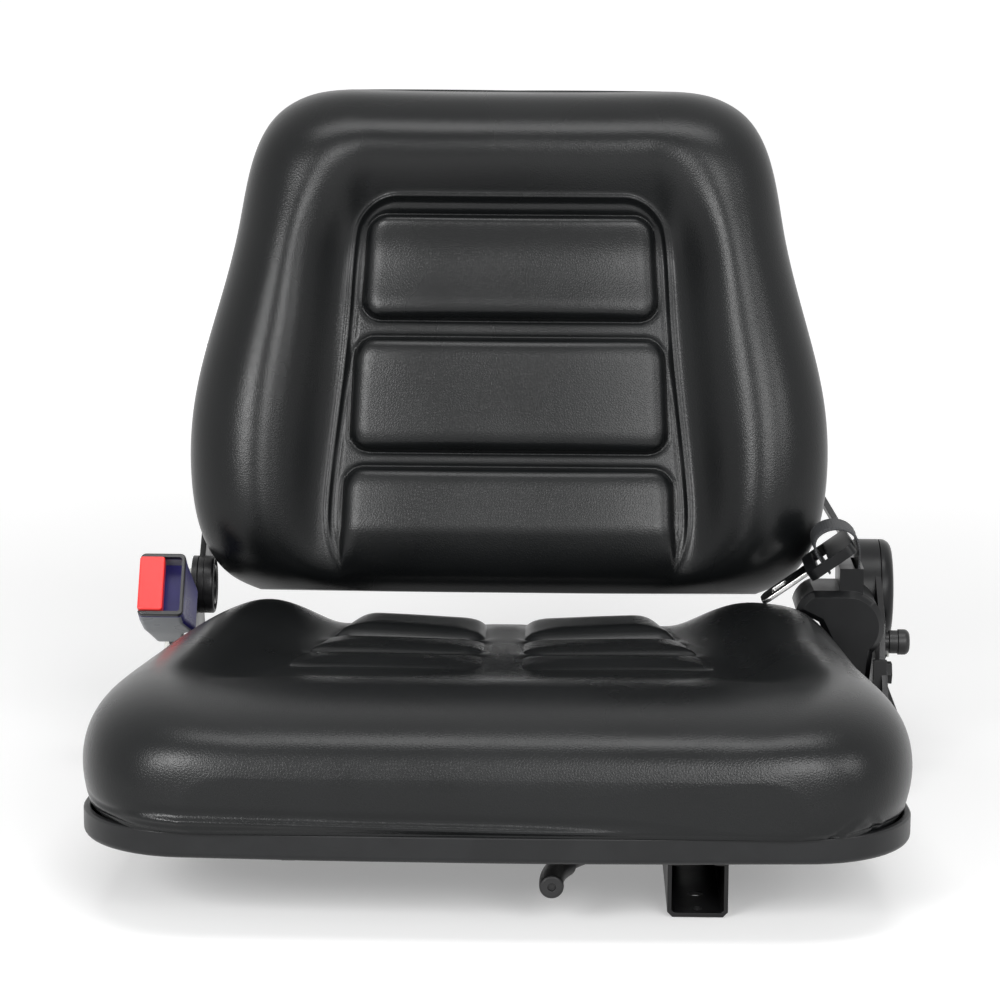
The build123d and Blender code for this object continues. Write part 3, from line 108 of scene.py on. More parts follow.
class Sheet:
    """The node sheet of one material."""

    def __init__(self, name: str) -> None:
        """Makes an empty node material.

        Args:
            name: The material's name.
        """
        self.material = bpy.data.materials.new(name)
        self.material.use_nodes = True
        self.tree = self.material.node_tree
        self.tree.nodes.clear()

    def node(self, kind: str, settings: Dict[str, object], sockets: Optional[Dict] = None) -> bpy.types.Node:
        """Adds a node.

        Args:
            kind: The node's type name.
            settings: Properties, set first; "stops" are a ramp's (place, colour) pairs.
            sockets: Values or wires by socket name or number.

        Returns:
            The node.
        """
        made = self.tree.nodes.new(kind)
        for key, value in settings.items():
            if key == "stops":
                elements = made.color_ramp.elements
                for place, colour in value[2:]:
                    elements.new(place)
                for element, (place, colour) in zip(elements, value):
                    element.position = place
                    element.color = (*colour, 1.0)
            else:
                setattr(made, key, value)
        for key, value in (sockets or {}).items():
            if isinstance(value, Wire):
                self.tree.links.new(value.socket, made.inputs[key])
            else:
                made.inputs[key].default_value = value
        return made

    def wire(self, node: bpy.types.Node, output: Union[int, str] = 0) -> Wire:
        """Wraps one output of a node."""
        return Wire(self, node.outputs[output])

    def math(self, operation: str, left: Value, right: Value) -> Wire:
        """Adds a Math node for two values."""
        return self.wire(self.node("ShaderNodeMath", {"operation": operation}, {0: left, 1: right}))

    def place(self) -> Wire:
        """Object coordinates, in metres."""
        return self.wire(self.node("ShaderNodeTexCoord", {}), "Object")

    def axes(self) -> Tuple[Wire, Wire, Wire]:
        """The three object coordinates as values."""
        split = self.node("ShaderNodeSeparateXYZ", {}, {0: self.place()})
        return self.wire(split, 0), self.wire(split, 1), self.wire(split, 2)

    def noise(self, scale: float, detail: float = 2.0, rough: float = 0.5) -> Wire:
        """Noise over the object.

        Args:
            scale: Features per metre.
            detail: Octaves.
            rough: Weight of the finer octaves.

        Returns:
            A value round 0.5.
        """
        made = self.node(
            "ShaderNodeTexNoise", {}, {"Vector": self.place(), "Scale": scale, "Detail": detail, "Roughness": rough}
        )
        return self.wire(made, 0)

    def cells(self, scale: float, feature: str = "F1") -> Wire:
        """Distance to cell middles or edges, cells per metre."""
        made = self.node("ShaderNodeTexVoronoi", {"feature": feature}, {"Vector": self.place(), "Scale": scale})
        return self.wire(made, "Distance")

    def span(self, value: Wire, low: float, high: float, to_low: float, to_high: float) -> Wire:
        """Maps a value from one range to another, clamped and smooth."""
        made = self.node(
            "ShaderNodeMapRange", {"interpolation_type": "SMOOTHSTEP"}, {0: value, 1: low, 2: high, 3: to_low, 4: to_high}
        )
        return self.wire(made)

    def mix(self, factor: Value, first: Union[Colour, Wire], second: Union[Colour, Wire]) -> Wire:
        """Mixes two colours.

        Args:
            factor: 0 for the first, 1 for the second.
            first: Colour or wire.
            second: Colour or wire.

        Returns:
            The mixed colour.
        """
        pair = [c if isinstance(c, Wire) else (*c, 1.0) for c in (first, second)]
        return self.wire(self.node("ShaderNodeMix", {"data_type": "RGBA"}, {0: factor, 6: pair[0], 7: pair[1]}), 2)

    def bump(self, height: Wire, strength: float, depth: float) -> Wire:
        """A surface relief, depth in metres."""
        return self.wire(self.node("ShaderNodeBump", {}, {"Strength": strength, "Distance": depth, "Height": height}))

    def surface(self, sockets: Dict[str, object]) -> bpy.types.Material:
        """Ends the sheet in a principled surface.

        Args:
            sockets: Values or wires of the shader.

        Returns:
            The finished material.
        """
        shader = self.node("ShaderNodeBsdfPrincipled", {}, sockets)
        self.node("ShaderNodeOutputMaterial", {}, {0: self.wire(shader)})
        return self.material


def tone(colour: Colour, gain: float) -> Colour:
    """A colour made lighter or darker."""
    return tuple(min(1.0, c * gain) for c in colour)


@dataclass(frozen=True)
class VinylSkin:
    """Black grained vinyl on moulded foam."""

    name: str = "vinyl_skin"
    colour: Colour = (0.0042, 0.0047, 0.005)
    roughness: float = 0.29
    gloss: float = 0.25
    grain: float = 0.0017

    def make(self) -> bpy.types.Material:
        """Builds the material: pebbled grain with fine creases between, faint cloudiness."""
        sheet = Sheet(self.name)
        crease = sheet.span(sheet.cells(1 / self.grain, "DISTANCE_TO_EDGE"), 0.0, 0.3, 0.0, 1.0)
        fine = sheet.noise(1900, 2.0)
        cloud = sheet.noise(11, 3.0)
        height = crease * 0.6 + fine * 0.5
        shade = sheet.mix(sheet.span(cloud, 0.35, 0.65, 0.0, 1.0), tone(self.colour, 0.88), tone(self.colour, 1.12))
        rough = sheet.span(cloud, 0.3, 0.7, self.roughness - 0.03, self.roughness + 0.03)
        relief = sheet.bump(height, 0.25, 0.00024)
        return sheet.surface(
            {"Base Color": shade, "Roughness": rough, "Normal": relief, "Specular IOR Level": self.gloss}
        )


@dataclass(frozen=True)
class Paint:
    """Black paint on pressed steel, with a faint orange peel."""

    name: str
    colour: Colour
    roughness: float
    gloss: float = 0.4

    def make(self) -> bpy.types.Material:
        """Builds the material."""
        sheet = Sheet(self.name)
        peel = sheet.noise(700, 2.0)
        cloud = sheet.noise(28, 4.0, 0.6)
        shade = sheet.mix(sheet.span(cloud, 0.4, 0.62, 0.0, 1.0), tone(self.colour, 0.8), tone(self.colour, 1.3))
        rough = sheet.span(cloud, 0.3, 0.7, self.roughness - 0.06, self.roughness + 0.08)
        relief = sheet.bump(peel, 0.25, 0.0002)
        return sheet.surface(
            {"Base Color": shade, "Roughness": rough, "Normal": relief, "Specular IOR Level": self.gloss}
        )


@dataclass(frozen=True)
class Moulding:
    """Moulded plastic or rubber with a spark-eroded texture."""

    name: str
    colour: Colour
    roughness: float
    texture: float = 0.25
    coat: float = 0.0
    gloss: float = 0.5
    below: Optional[Colour] = None

    def make(self) -> bpy.types.Material:
        """Builds the material; faces marked by the piece's own "below" attribute take the second colour."""
        sheet = Sheet(self.name)
        spark = sheet.noise(1700, 3.0, 0.6)
        cloud = sheet.noise(40, 3.0)
        shade = sheet.mix(sheet.span(cloud, 0.38, 0.62, 0.0, 1.0), tone(self.colour, 0.92), tone(self.colour, 1.08))
        if self.below:
            marked = sheet.wire(sheet.node("ShaderNodeAttribute", {"attribute_name": "below"}), "Fac")
            shade = sheet.mix(marked, shade, self.below)
        rough = sheet.span(cloud, 0.3, 0.7, self.roughness - 0.04, self.roughness + 0.04)
        relief = sheet.bump(spark, self.texture, 0.00015)
        return sheet.surface(
            {
                "Base Color": shade,
                "Roughness": rough,
                "Normal": relief,
                "Specular IOR Level": self.gloss,
                "Coat Weight": self.coat,
                "Coat Roughness": 0.12,
            }
        )


@dataclass(frozen=True)
class Steel:
    """Plated steel with fine drawn lines."""

    name: str
    colour: Colour
    roughness: float

    def make(self) -> bpy.types.Material:
        """Builds the material."""
        sheet = Sheet(self.name)
        lines = sheet.noise(2200, 2.0)
        cloud = sheet.noise(60, 4.0, 0.6)
        shade = sheet.mix(sheet.span(cloud, 0.35, 0.65, 0.0, 1.0), tone(self.colour, 0.85), self.colour)
        rough = sheet.span(cloud, 0.3, 0.7, self.roughness - 0.05, self.roughness + 0.07)
        relief = sheet.bump(lines, 0.12, 0.00008)
        return sheet.surface({"Base Color": shade, "Roughness": rough, "Metallic": 1.0, "Normal": relief})


@dataclass(frozen=True)
class Weave:
    """Woven belt webbing: ribs across, herringbone along, read from the strap's own length."""

    name: str = "belt_weave"
    colour: Colour = (0.016, 0.017, 0.019)
    rib: float = 0.0017

    def make(self) -> bpy.types.Material:
        """Builds the material."""
        sheet = Sheet(self.name)
        along = sheet.wire(sheet.node("ShaderNodeAttribute", {"attribute_name": "along"}), "Fac")
        across = sheet.axes()[1]
        turn = 2 * math.pi / self.rib
        ribs = sheet.math("SINE", along * turn + sheet.math("PINGPONG", across * turn * 0.6, math.pi), 0.0)
        threads = sheet.math("SINE", across * (turn * 1.5), 0.0)
        height = ribs * 0.6 + threads * 0.4
        shade = sheet.mix(sheet.span(height, -0.8, 0.8, 0.0, 1.0), tone(self.colour, 0.45), tone(self.colour, 1.7))
        return sheet.surface({"Base Color": shade, "Roughness": 0.62, "Normal": sheet.bump(height, 0.6, 0.0003)})


class Finish(Enum):
    """The finishes of the seat's pieces."""

    VINYL = VinylSkin()
    PAN = Moulding("pan_satin", (0.0095, 0.0099, 0.0105), 0.4, 0.4, gloss=0.24)
    PAINT = Paint("paint_black", (0.008, 0.008, 0.0085), 0.34, 0.3)
    SHELL = Moulding("shell_satin", (0.011, 0.011, 0.012), 0.46, 0.5, gloss=0.3)
    ZINC = Steel("zinc_plate", (0.55, 0.55, 0.52), 0.36)
    BRIGHT = Steel("steel_bright", (0.78, 0.78, 0.77), 0.16)
    NYLON = Moulding("nylon_black", (0.02, 0.02, 0.02), 0.5)
    RUBBER = Moulding("rubber_black", (0.011, 0.011, 0.0115), 0.42, 0.3, gloss=0.35)
    COVER = Moulding("cover_satin", (0.0055, 0.0058, 0.0063), 0.33, 0.3, gloss=0.2)
    WEBBING = Weave()
    # second colour: a pale grey on the housing's downward-facing faces
    VIOLET = Moulding("violet_gloss", (0.022, 0.019, 0.11), 0.3, 0.06, 0.0, 0.22, (0.2, 0.21, 0.225))
    BEZEL = Moulding("bezel_gloss", (0.013, 0.013, 0.014), 0.3, 0.12)
    RED = Moulding("red_button", (0.78, 0.028, 0.026), 0.34, 0.1)

    def material(self) -> bpy.types.Material:
        """The finish's material, made once."""
        return bpy.data.materials.get(self.value.name) or self.value.make()


def body_of(node: str) -> str:
    """The body that holds a node."""
    return next(body for body, held in frame["record"]["behaviour"]["bodies"].items() if node in held)


def make_object(name: str, mesh: bpy.types.Mesh, finish: Finish, sharp: float = 180.0) -> bpy.types.Object:
    """Puts a mesh into the scene with its finish.

    Args:
        name: The piece's name.
        mesh: Its mesh, in metres in the seat's frame.
        finish: What it is made of.
        sharp: Edges steeper than this angle, in degrees, stay sharp.

    Returns:
        The new object.
    """
    mesh.materials.clear()
    mesh.materials.append(finish.material())
    mesh.polygons.foreach_set("use_smooth", [True] * len(mesh.polygons))
    if sharp < 180.0:
        mesh.set_sharp_from_angle(angle=math.radians(sharp))
    made = bpy.data.objects.new(name, mesh)
    bpy.context.scene.collection.objects.link(made)
    return made


def settle(piece: bpy.types.Object, finish: Finish, *nodes: str) -> bpy.types.Object:
    """Lets a piece stand for its nodes and ride with their body, and logs it."""
    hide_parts(*nodes)
    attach(piece, body_of(nodes[0]))
    LOG.info("%s for %s", piece.name, ", ".join(nodes))
    return piece


def flattened(holder: bpy.types.Object, name: str) -> bpy.types.Mesh:
    """The evaluated mesh of an object, whose modifiers are then gone.

    Args:
        holder: Object with modifiers; it is removed.
        name: Name of the new mesh.

    Returns:
        A plain mesh.
    """
    graph = bpy.context.evaluated_depsgraph_get()
    mesh = bpy.data.meshes.new_from_object(holder.evaluated_get(graph))
    mesh.name = name
    bpy.data.objects.remove(holder)
    return mesh


def softened(node: str, finish: Finish, radius: float, steps: int = 2) -> bpy.types.Object:
    """A copy of a rigid node with its sharp edges rounded, standing for it.

    Args:
        node: The node.
        finish: What it is made of.
        radius: Edge rounding in mm.
        steps: Facets of the rounding.

    Returns:
        The piece.
    """
    work = bmesh.new()
    work.from_mesh(frame["nodes"][node].data)
    bmesh.ops.remove_doubles(work, verts=work.verts, dist=2e-6)
    bmesh.ops.dissolve_limit(work, angle_limit=math.radians(0.6), verts=work.verts, edges=work.edges)
    mesh = bpy.data.meshes.new(node + "_edges")
    work.to_mesh(mesh)
    work.free()
    holder = bpy.data.objects.new(node + "_edges", mesh)
    bpy.context.scene.collection.objects.link(holder)
    edge = holder.modifiers.new("edge", "BEVEL")
    edge.width = radius * MM
    edge.segments = steps
    edge.limit_method = "ANGLE"
    edge.angle_limit = math.radians(38)
    mesh.polygons.foreach_set("use_smooth", [True] * len(mesh.polygons))
    holder.modifiers.new("faces", "WEIGHTED_NORMAL").weight = 90
    piece = make_object(node + "_piece", flattened(holder, node + "_piece"), finish)
    return settle(piece, finish, node)


def through(knots: np.ndarray, values: np.ndarray, at: np.ndarray) -> np.ndarray:
    """Natural cubic through values.

    Args:
        knots: Rising places of the values.
        values: One row for each knot.
        at: Places asked for.

    Returns:
        One row for each place.
    """
    count = len(knots)
    gap = np.diff(knots)
    slope = np.diff(values, axis=0) / gap[:, None]
    system = np.eye(count)
    right = np.zeros_like(values)
    for i in range(1, count - 1):
        system[i, i - 1 : i + 2] = gap[i - 1], 2 * (gap[i - 1] + gap[i]), gap[i]
        right[i] = 6 * (slope[i] - slope[i - 1])
    bend = np.linalg.solve(system, right)
    i = np.clip(np.searchsorted(knots, at, "right") - 1, 0, count - 2)
    t, h = (at - knots[i])[:, None], gap[i][:, None]
    lead = slope[i] - h * (2 * bend[i] + bend[i + 1]) / 6
    return values[i] + t * lead + t**2 * bend[i] / 2 + t**3 * (bend[i + 1] - bend[i]) / (6 * h)


def run_length(points: np.ndarray) -> np.ndarray:
    """Length run up to each point of a line."""
    return np.concatenate([[0.0], np.cumsum(np.linalg.norm(np.diff(points, axis=0), axis=1))])


def rounded_inside(across: np.ndarray, along: np.ndarray, corner: float) -> np.ndarray:
    """Distance inside a round-cornered outline.

    Args:
        across: Signed distance beyond the outline's sides, negative inside.
        along: Signed distance beyond its ends, negative inside.
        corner: Corner radius.

    Returns:
        Distance inside, negative outside.
    """
    a, b = across + corner, along + corner
    outside = np.hypot(np.maximum(a, 0), np.maximum(b, 0)) + np.minimum(np.maximum(a, b), 0) - corner
    return -outside


def crown(inside: np.ndarray, width: float, power: float = 2.0) -> np.ndarray:
    """Rounded rise from 0 at an outline to 1 at a distance inside it."""
    t = np.clip(inside / width, 0, 1)
    return (1 - (1 - t) ** power) ** (1 / power)


def smooth(value: np.ndarray, low: float, high: float) -> np.ndarray:
    """Soft step from 0 at the low value to 1 at the high one."""
    t = np.clip((value - low) / (high - low), 0, 1)
    return t * t * (3 - 2 * t)


def ridge(distance: np.ndarray, width: float) -> np.ndarray:
    """A soft line of unit height."""
    return np.exp(-((distance / width) ** 2))


class Packing(Enum):
    """How the mesh lines of one stretch of a section are spread."""

    EVEN = "even"
    START = "start"
    END = "end"
    BOTH = "both"

    def places(self, count: int) -> np.ndarray:
        """Fractions from 0 up to, not with, 1."""
        k = np.arange(count) / count
        if self is Packing.START:
            return 1 - np.cos(k * math.pi / 2)
        if self is Packing.END:
            return np.sin(k * math.pi / 2)
        if self is Packing.BOTH:
            return 0.5 - 0.5 * np.cos(k * math.pi)
        return k


def section(half: np.ndarray, spread: Sequence[Tuple[int, Packing]]) -> np.ndarray:
    """A symmetric section through its control points.

    Args:
        half: Control points from the middle outwards, (across, up).
        spread: Mesh lines of each stretch between them.

    Returns:
        Points from the left edge over the top to the right edge.
    """
    mirror = half[:0:-1] * (-1, 1)
    full = np.vstack([mirror, half])
    knots = run_length(full)
    middle = len(half) - 1
    places: List[float] = []
    for j, (count, packing) in enumerate(spread):
        start, end = knots[middle + j], knots[middle + j + 1]
        places.extend(start + (end - start) * packing.places(count))
    places.append(knots[-1])
    right = np.array(places)
    left = 2 * knots[middle] - right[:0:-1]
    return through(knots, full, np.concatenate([left, right]))


def lines(coarse: Tuple[float, float, float], edges: Sequence[float], reach: float, fine: float) -> np.ndarray:
    """Rising places with a coarse step, and a fine one round some edges.

    Args:
        coarse: First place, last place, step.
        edges: Places that need fine steps.
        reach: How far round each edge.
        fine: The fine step.

    Returns:
        The places.
    """
    sets = [np.arange(*coarse)]
    sets += [np.arange(e - reach, e + reach, fine) for e in edges]
    merged = np.unique(np.round(np.concatenate(sets), 3))
    merged = merged[(merged >= coarse[0]) & (merged <= coarse[1])]
    keep = [merged[0]]
    for value in merged[1:]:
        if value - keep[-1] > fine * 0.6:
            keep.append(value)
    return np.array(keep)


def hull(rows: List[np.ndarray], first: np.ndarray, last: np.ndarray) -> bpy.types.Mesh:
    """A closed skin from rings of points.

    Args:
        rows: Rings of equal length, (n, 3) each, in metres.
        first: Middle of the first end.
        last: Middle of the last end.

    Returns:
        A mesh whose faces point outwards.
    """
    size = len(rows[0])
    points = np.vstack([*rows, first[None], last[None]])
    around = np.arange(size)
    after = (around + 1) % size
    faces: List[Tuple[int, ...]] = []
    for r in range(len(rows) - 1):
        low, high = r * size, (r + 1) * size
        faces.extend(zip(low + around, low + after, high + after, high + around))
    top = (len(rows) - 1) * size
    faces.extend(zip(after, around, [len(points) - 2] * size))
    faces.extend(zip(top + around, top + after, [len(points) - 1] * size))
    mesh = bpy.data.meshes.new("skin")
    mesh.from_pydata([tuple(p) for p in points], [], [tuple(int(i) for i in f) for f in faces])
    work = bmesh.new()
    work.from_mesh(mesh)
    bmesh.ops.recalc_face_normals(work, faces=work.faces)
    work.to_mesh(mesh)
    work.free()
    return mesh


def capped(rows: List[np.ndarray], steps: int, bulge: float, direction: np.ndarray) -> List[np.ndarray]:
    """Rings that close an end in a shallow dome.

    Args:
        rows: The end ring alone, in mm.
        steps: Rings of the dome.
        bulge: How far it stands out, in mm.
        direction: Which way.

    Returns:
        The rings, from the end ring's neighbour to the innermost.
    """
    ring = rows[0]
    middle = ring.mean(axis=0)
    made = []
    for k in range(1, steps):
        shrink = 1 - k / steps
        made.append(middle + (ring - middle) * shrink + direction * bulge * (1 - shrink**2))
    return made


@dataclass
class SeatCushion:
    """The seat's cushion: a waterfall lip, side bolsters and a dish with two columns of pads. Sizes in mm."""

    rim: float = 16.5
    stations: Tuple[Tuple[float, ...], ...] = (
        (0.0, 182.0, 140.0, 50.0, 90.0, 50.0),
        (9.0, 210.0, 168.0, 68.0, 112.0, 68.0),
        (30.0, 232.0, 188.0, 80.0, 132.0, 80.0),
        (70.0, 245.0, 202.0, 87.0, 150.0, 86.0),
        (112.0, 244.0, 202.0, 88.0, 164.0, 82.0),
        (155.0, 242.0, 197.0, 86.0, 152.0, 73.0),
        (230.0, 238.0, 188.0, 82.0, 138.0, 67.0),
        (310.0, 231.0, 178.0, 78.0, 125.0, 61.0),
        (365.0, 217.0, 168.0, 75.0, 117.0, 57.0),
        (402.0, 190.0, 158.0, 68.0, 111.0, 53.0),
        (419.0, 164.0, 140.0, 54.0, 100.0, 44.0),
        (425.0, 146.0, 124.0, 40.0, 90.0, 36.0),
    )
    dish_rear: float = 400.0
    pads: Tuple[Tuple[float, float, float], ...] = ((-78.0, 2.0, 9.0), (-142.0, -84.0, 5.5), (-198.0, -148.0, 3.4))
    pad_inner: float = 13.0
    pad_outer: float = 101.0
    pad_fan: float = 0.18
    fullness: float = 9.0
    under_points: int = 61
    puckers: Tuple[Tuple[float, float, float], ...] = ((178.0, 1.4, 1.0), (214.0, -1.0, 1.0), (-196.0, 1.2, 0.7))
    spread: Tuple[Tuple[int, Packing], ...] = (
        (9, Packing.END),
        (34, Packing.BOTH),
        (13, Packing.START),
        (9, Packing.EVEN),
        (9, Packing.EVEN),
        (11, Packing.EVEN),
        (12, Packing.EVEN),
        (20, Packing.END),
    )

    def control(self, y: float, sizes: np.ndarray) -> np.ndarray:
        """Half of one section's control points, from the middle to the rim.

        Args:
            y: Distance back from the pan's front edge.
            sizes: Half width, crest out, crest up, dish half width, dish up.

        Returns:
            Points (across, up).
        """
        half, crest_x, crest_z, dish_x, dish_z = sizes
        outer = min(self.pad_outer - self.pad_fan * (y - self.dish_rear), 0.94 * dish_x)
        rise = crest_z - self.rim
        lean = float(np.interp(y, (112, 230, 310), (0.22, 0.34, 0.4)))
        return np.array(
            [
                (0, dish_z),
                (self.pad_inner, dish_z),
                (outer, dish_z),
                (dish_x, dish_z),
                (0.5 * (crest_x + dish_x), dish_z + 0.55 * (crest_z - dish_z)),
                (crest_x, crest_z),
                (half - lean * (half - crest_x), self.rim + 0.78 * rise),
                (half, self.rim + 0.33 * rise),
                (half - 5, self.rim),
            ]
        )

    def relief(self, x: np.ndarray, y: np.ndarray) -> np.ndarray:
        """Height of the pads and the grooves round them.

        Args:
            x: Across.
            y: Back from the pan's front edge.

        Returns:
            Height over the dish.
        """
        d = y - self.dish_rear
        side = np.abs(x)
        total = np.zeros_like(x)
        groove = np.zeros_like(x)
        outer = self.pad_outer - self.pad_fan * d
        tilt = 0.55 + 0.45 * np.clip((side - self.pad_inner) / (outer - self.pad_inner), 0, 1)
        for near, far, rise in self.pads:
            beyond_side = np.maximum(self.pad_inner - side, side - outer)
            beyond_end = np.maximum(near - d, d - far)
            inside = rounded_inside(beyond_side, beyond_end, 14.0)
            total = np.maximum(total, rise * tilt * crown(inside, 16.0 + 90.0 / rise, 2.0))
            groove = np.maximum(groove, 0.14 * rise * ridge(inside, 4.0))
        return total - groove

    def folds(self, ring: np.ndarray) -> np.ndarray:
        """The skin's roll and tucks where it goes over the foam's lower edge, above the rim.

        Args:
            ring: Points of a section, (n, 3).

        Returns:
            The points, moved.
        """
        x, y, z = ring.T
        over = z - self.rim
        low = np.clip(1 - over / 26, 0, 1)
        way = x * 0.9 + y * 0.7
        wave = np.sin(way / 17) * 0.5 + np.sin(way / 7.3 + 1.3) * 0.3 + np.sin(way / 41 + 0.6) * 0.6
        hem = smooth(x, -222, -186) * (1 - smooth(x, 10, 110)) * (y < 40)
        roll = 1.9 * ridge(over - 4.2 + 0.017 * x, 1.7) * hem
        tuck = -1.6 * ridge(over - 0.4, 1.7) * (0.6 + 0.4 * hem) - 0.8 * ridge(over - 9 + 0.017 * x, 2.4) * hem
        for at, slant, size in self.puckers:
            across = way - at - slant * over
            tuck = tuck + size * (1.4 * ridge(across - 5, 3.2) - 2.2 * ridge(across, 2.6)) * np.clip(1 - over / 13, 0, 1)
        push = (low**2 * (0.4 + 0.3 * wave) + roll + tuck) * (over > -0.5)
        out = np.stack([x / 250, (y - 210) / 215, np.zeros_like(x)], axis=1)
        out /= np.maximum(np.linalg.norm(out, axis=1), 0.05)[:, None]
        corner = ridge(np.abs(x) - 226, 20) * ridge(y - 26, 34)
        lift = 3.0 * corner * np.clip(1 - over / 15, 0, 1) * (over > -0.5)
        return ring + out * push[:, None] + np.stack([lift * 0, lift * 0, lift], axis=1)

    def build(self) -> bpy.types.Object:
        """Makes the cushion's skin and lets it stand for the node.

        Returns:
            The piece.
        """
        table = np.array(self.stations)
        knots = run_length(table[:, (0, 1, 3)])
        fine = np.linspace(0, knots[-1], 3000)
        y_fine = through(knots, table, fine)[:, 0]
        edges = [self.dish_rear + e for pad in self.pads for e in pad[:2]]
        body = np.interp(lines((24.0, 404.0, 4.5), edges, 7.0, 0.9), y_fine, fine)
        head = np.linspace(0, body[0], 16)[:-1]
        tail = np.linspace(body[-1], knots[-1], 16)[1:]
        rows: List[np.ndarray] = []
        for sizes in through(knots, table, np.concatenate([head, body, tail])):
            across = section(self.control(sizes[0], sizes[1:]), self.spread)
            x, z = across.T
            y = np.full_like(x, sizes[0])
            top = (np.abs(x) < sizes[4]) & (z > self.rim + 6)
            z = z + np.where(top, self.relief(x, y), 0.0)
            z = z + self.fullness * ridge(x - 201, 24) * smooth(y, 235, 335) * smooth(z, self.rim + 4, self.rim + 44)
            inset = min(sizes[0], 425 - sizes[0])
            depth = 0.3 + 8.7 * float(np.clip((inset - 7) / 8, 0, 1))
            beneath = np.linspace(x[-1] - 8, x[0] + 8, self.under_points)
            under = np.stack([beneath, np.full_like(beneath, sizes[0]), np.full_like(beneath, self.rim - depth)], axis=1)
            rows.append(np.vstack([np.stack([x, y, z], axis=1), under]))
        forward = capped(rows[:1], 34, 1.5, np.array([0.0, -1.0, 0.0]))
        behind = capped(rows[-1:], 12, 1.5, np.array([0.0, 1.0, 0.0]))
        rows = [self.folds(r) for r in forward[::-1] + rows + behind]
        shift = np.array([0, PAN_FRONT, PAN_Z])
        metres = [(r + shift) * MM for r in rows]
        mesh = hull(metres, metres[0].mean(axis=0), metres[-1].mean(axis=0))
        piece = make_object("seat_skin", mesh, Finish.VINYL)
        settle(piece, Finish.VINYL, "seat_cushion")
        return piece


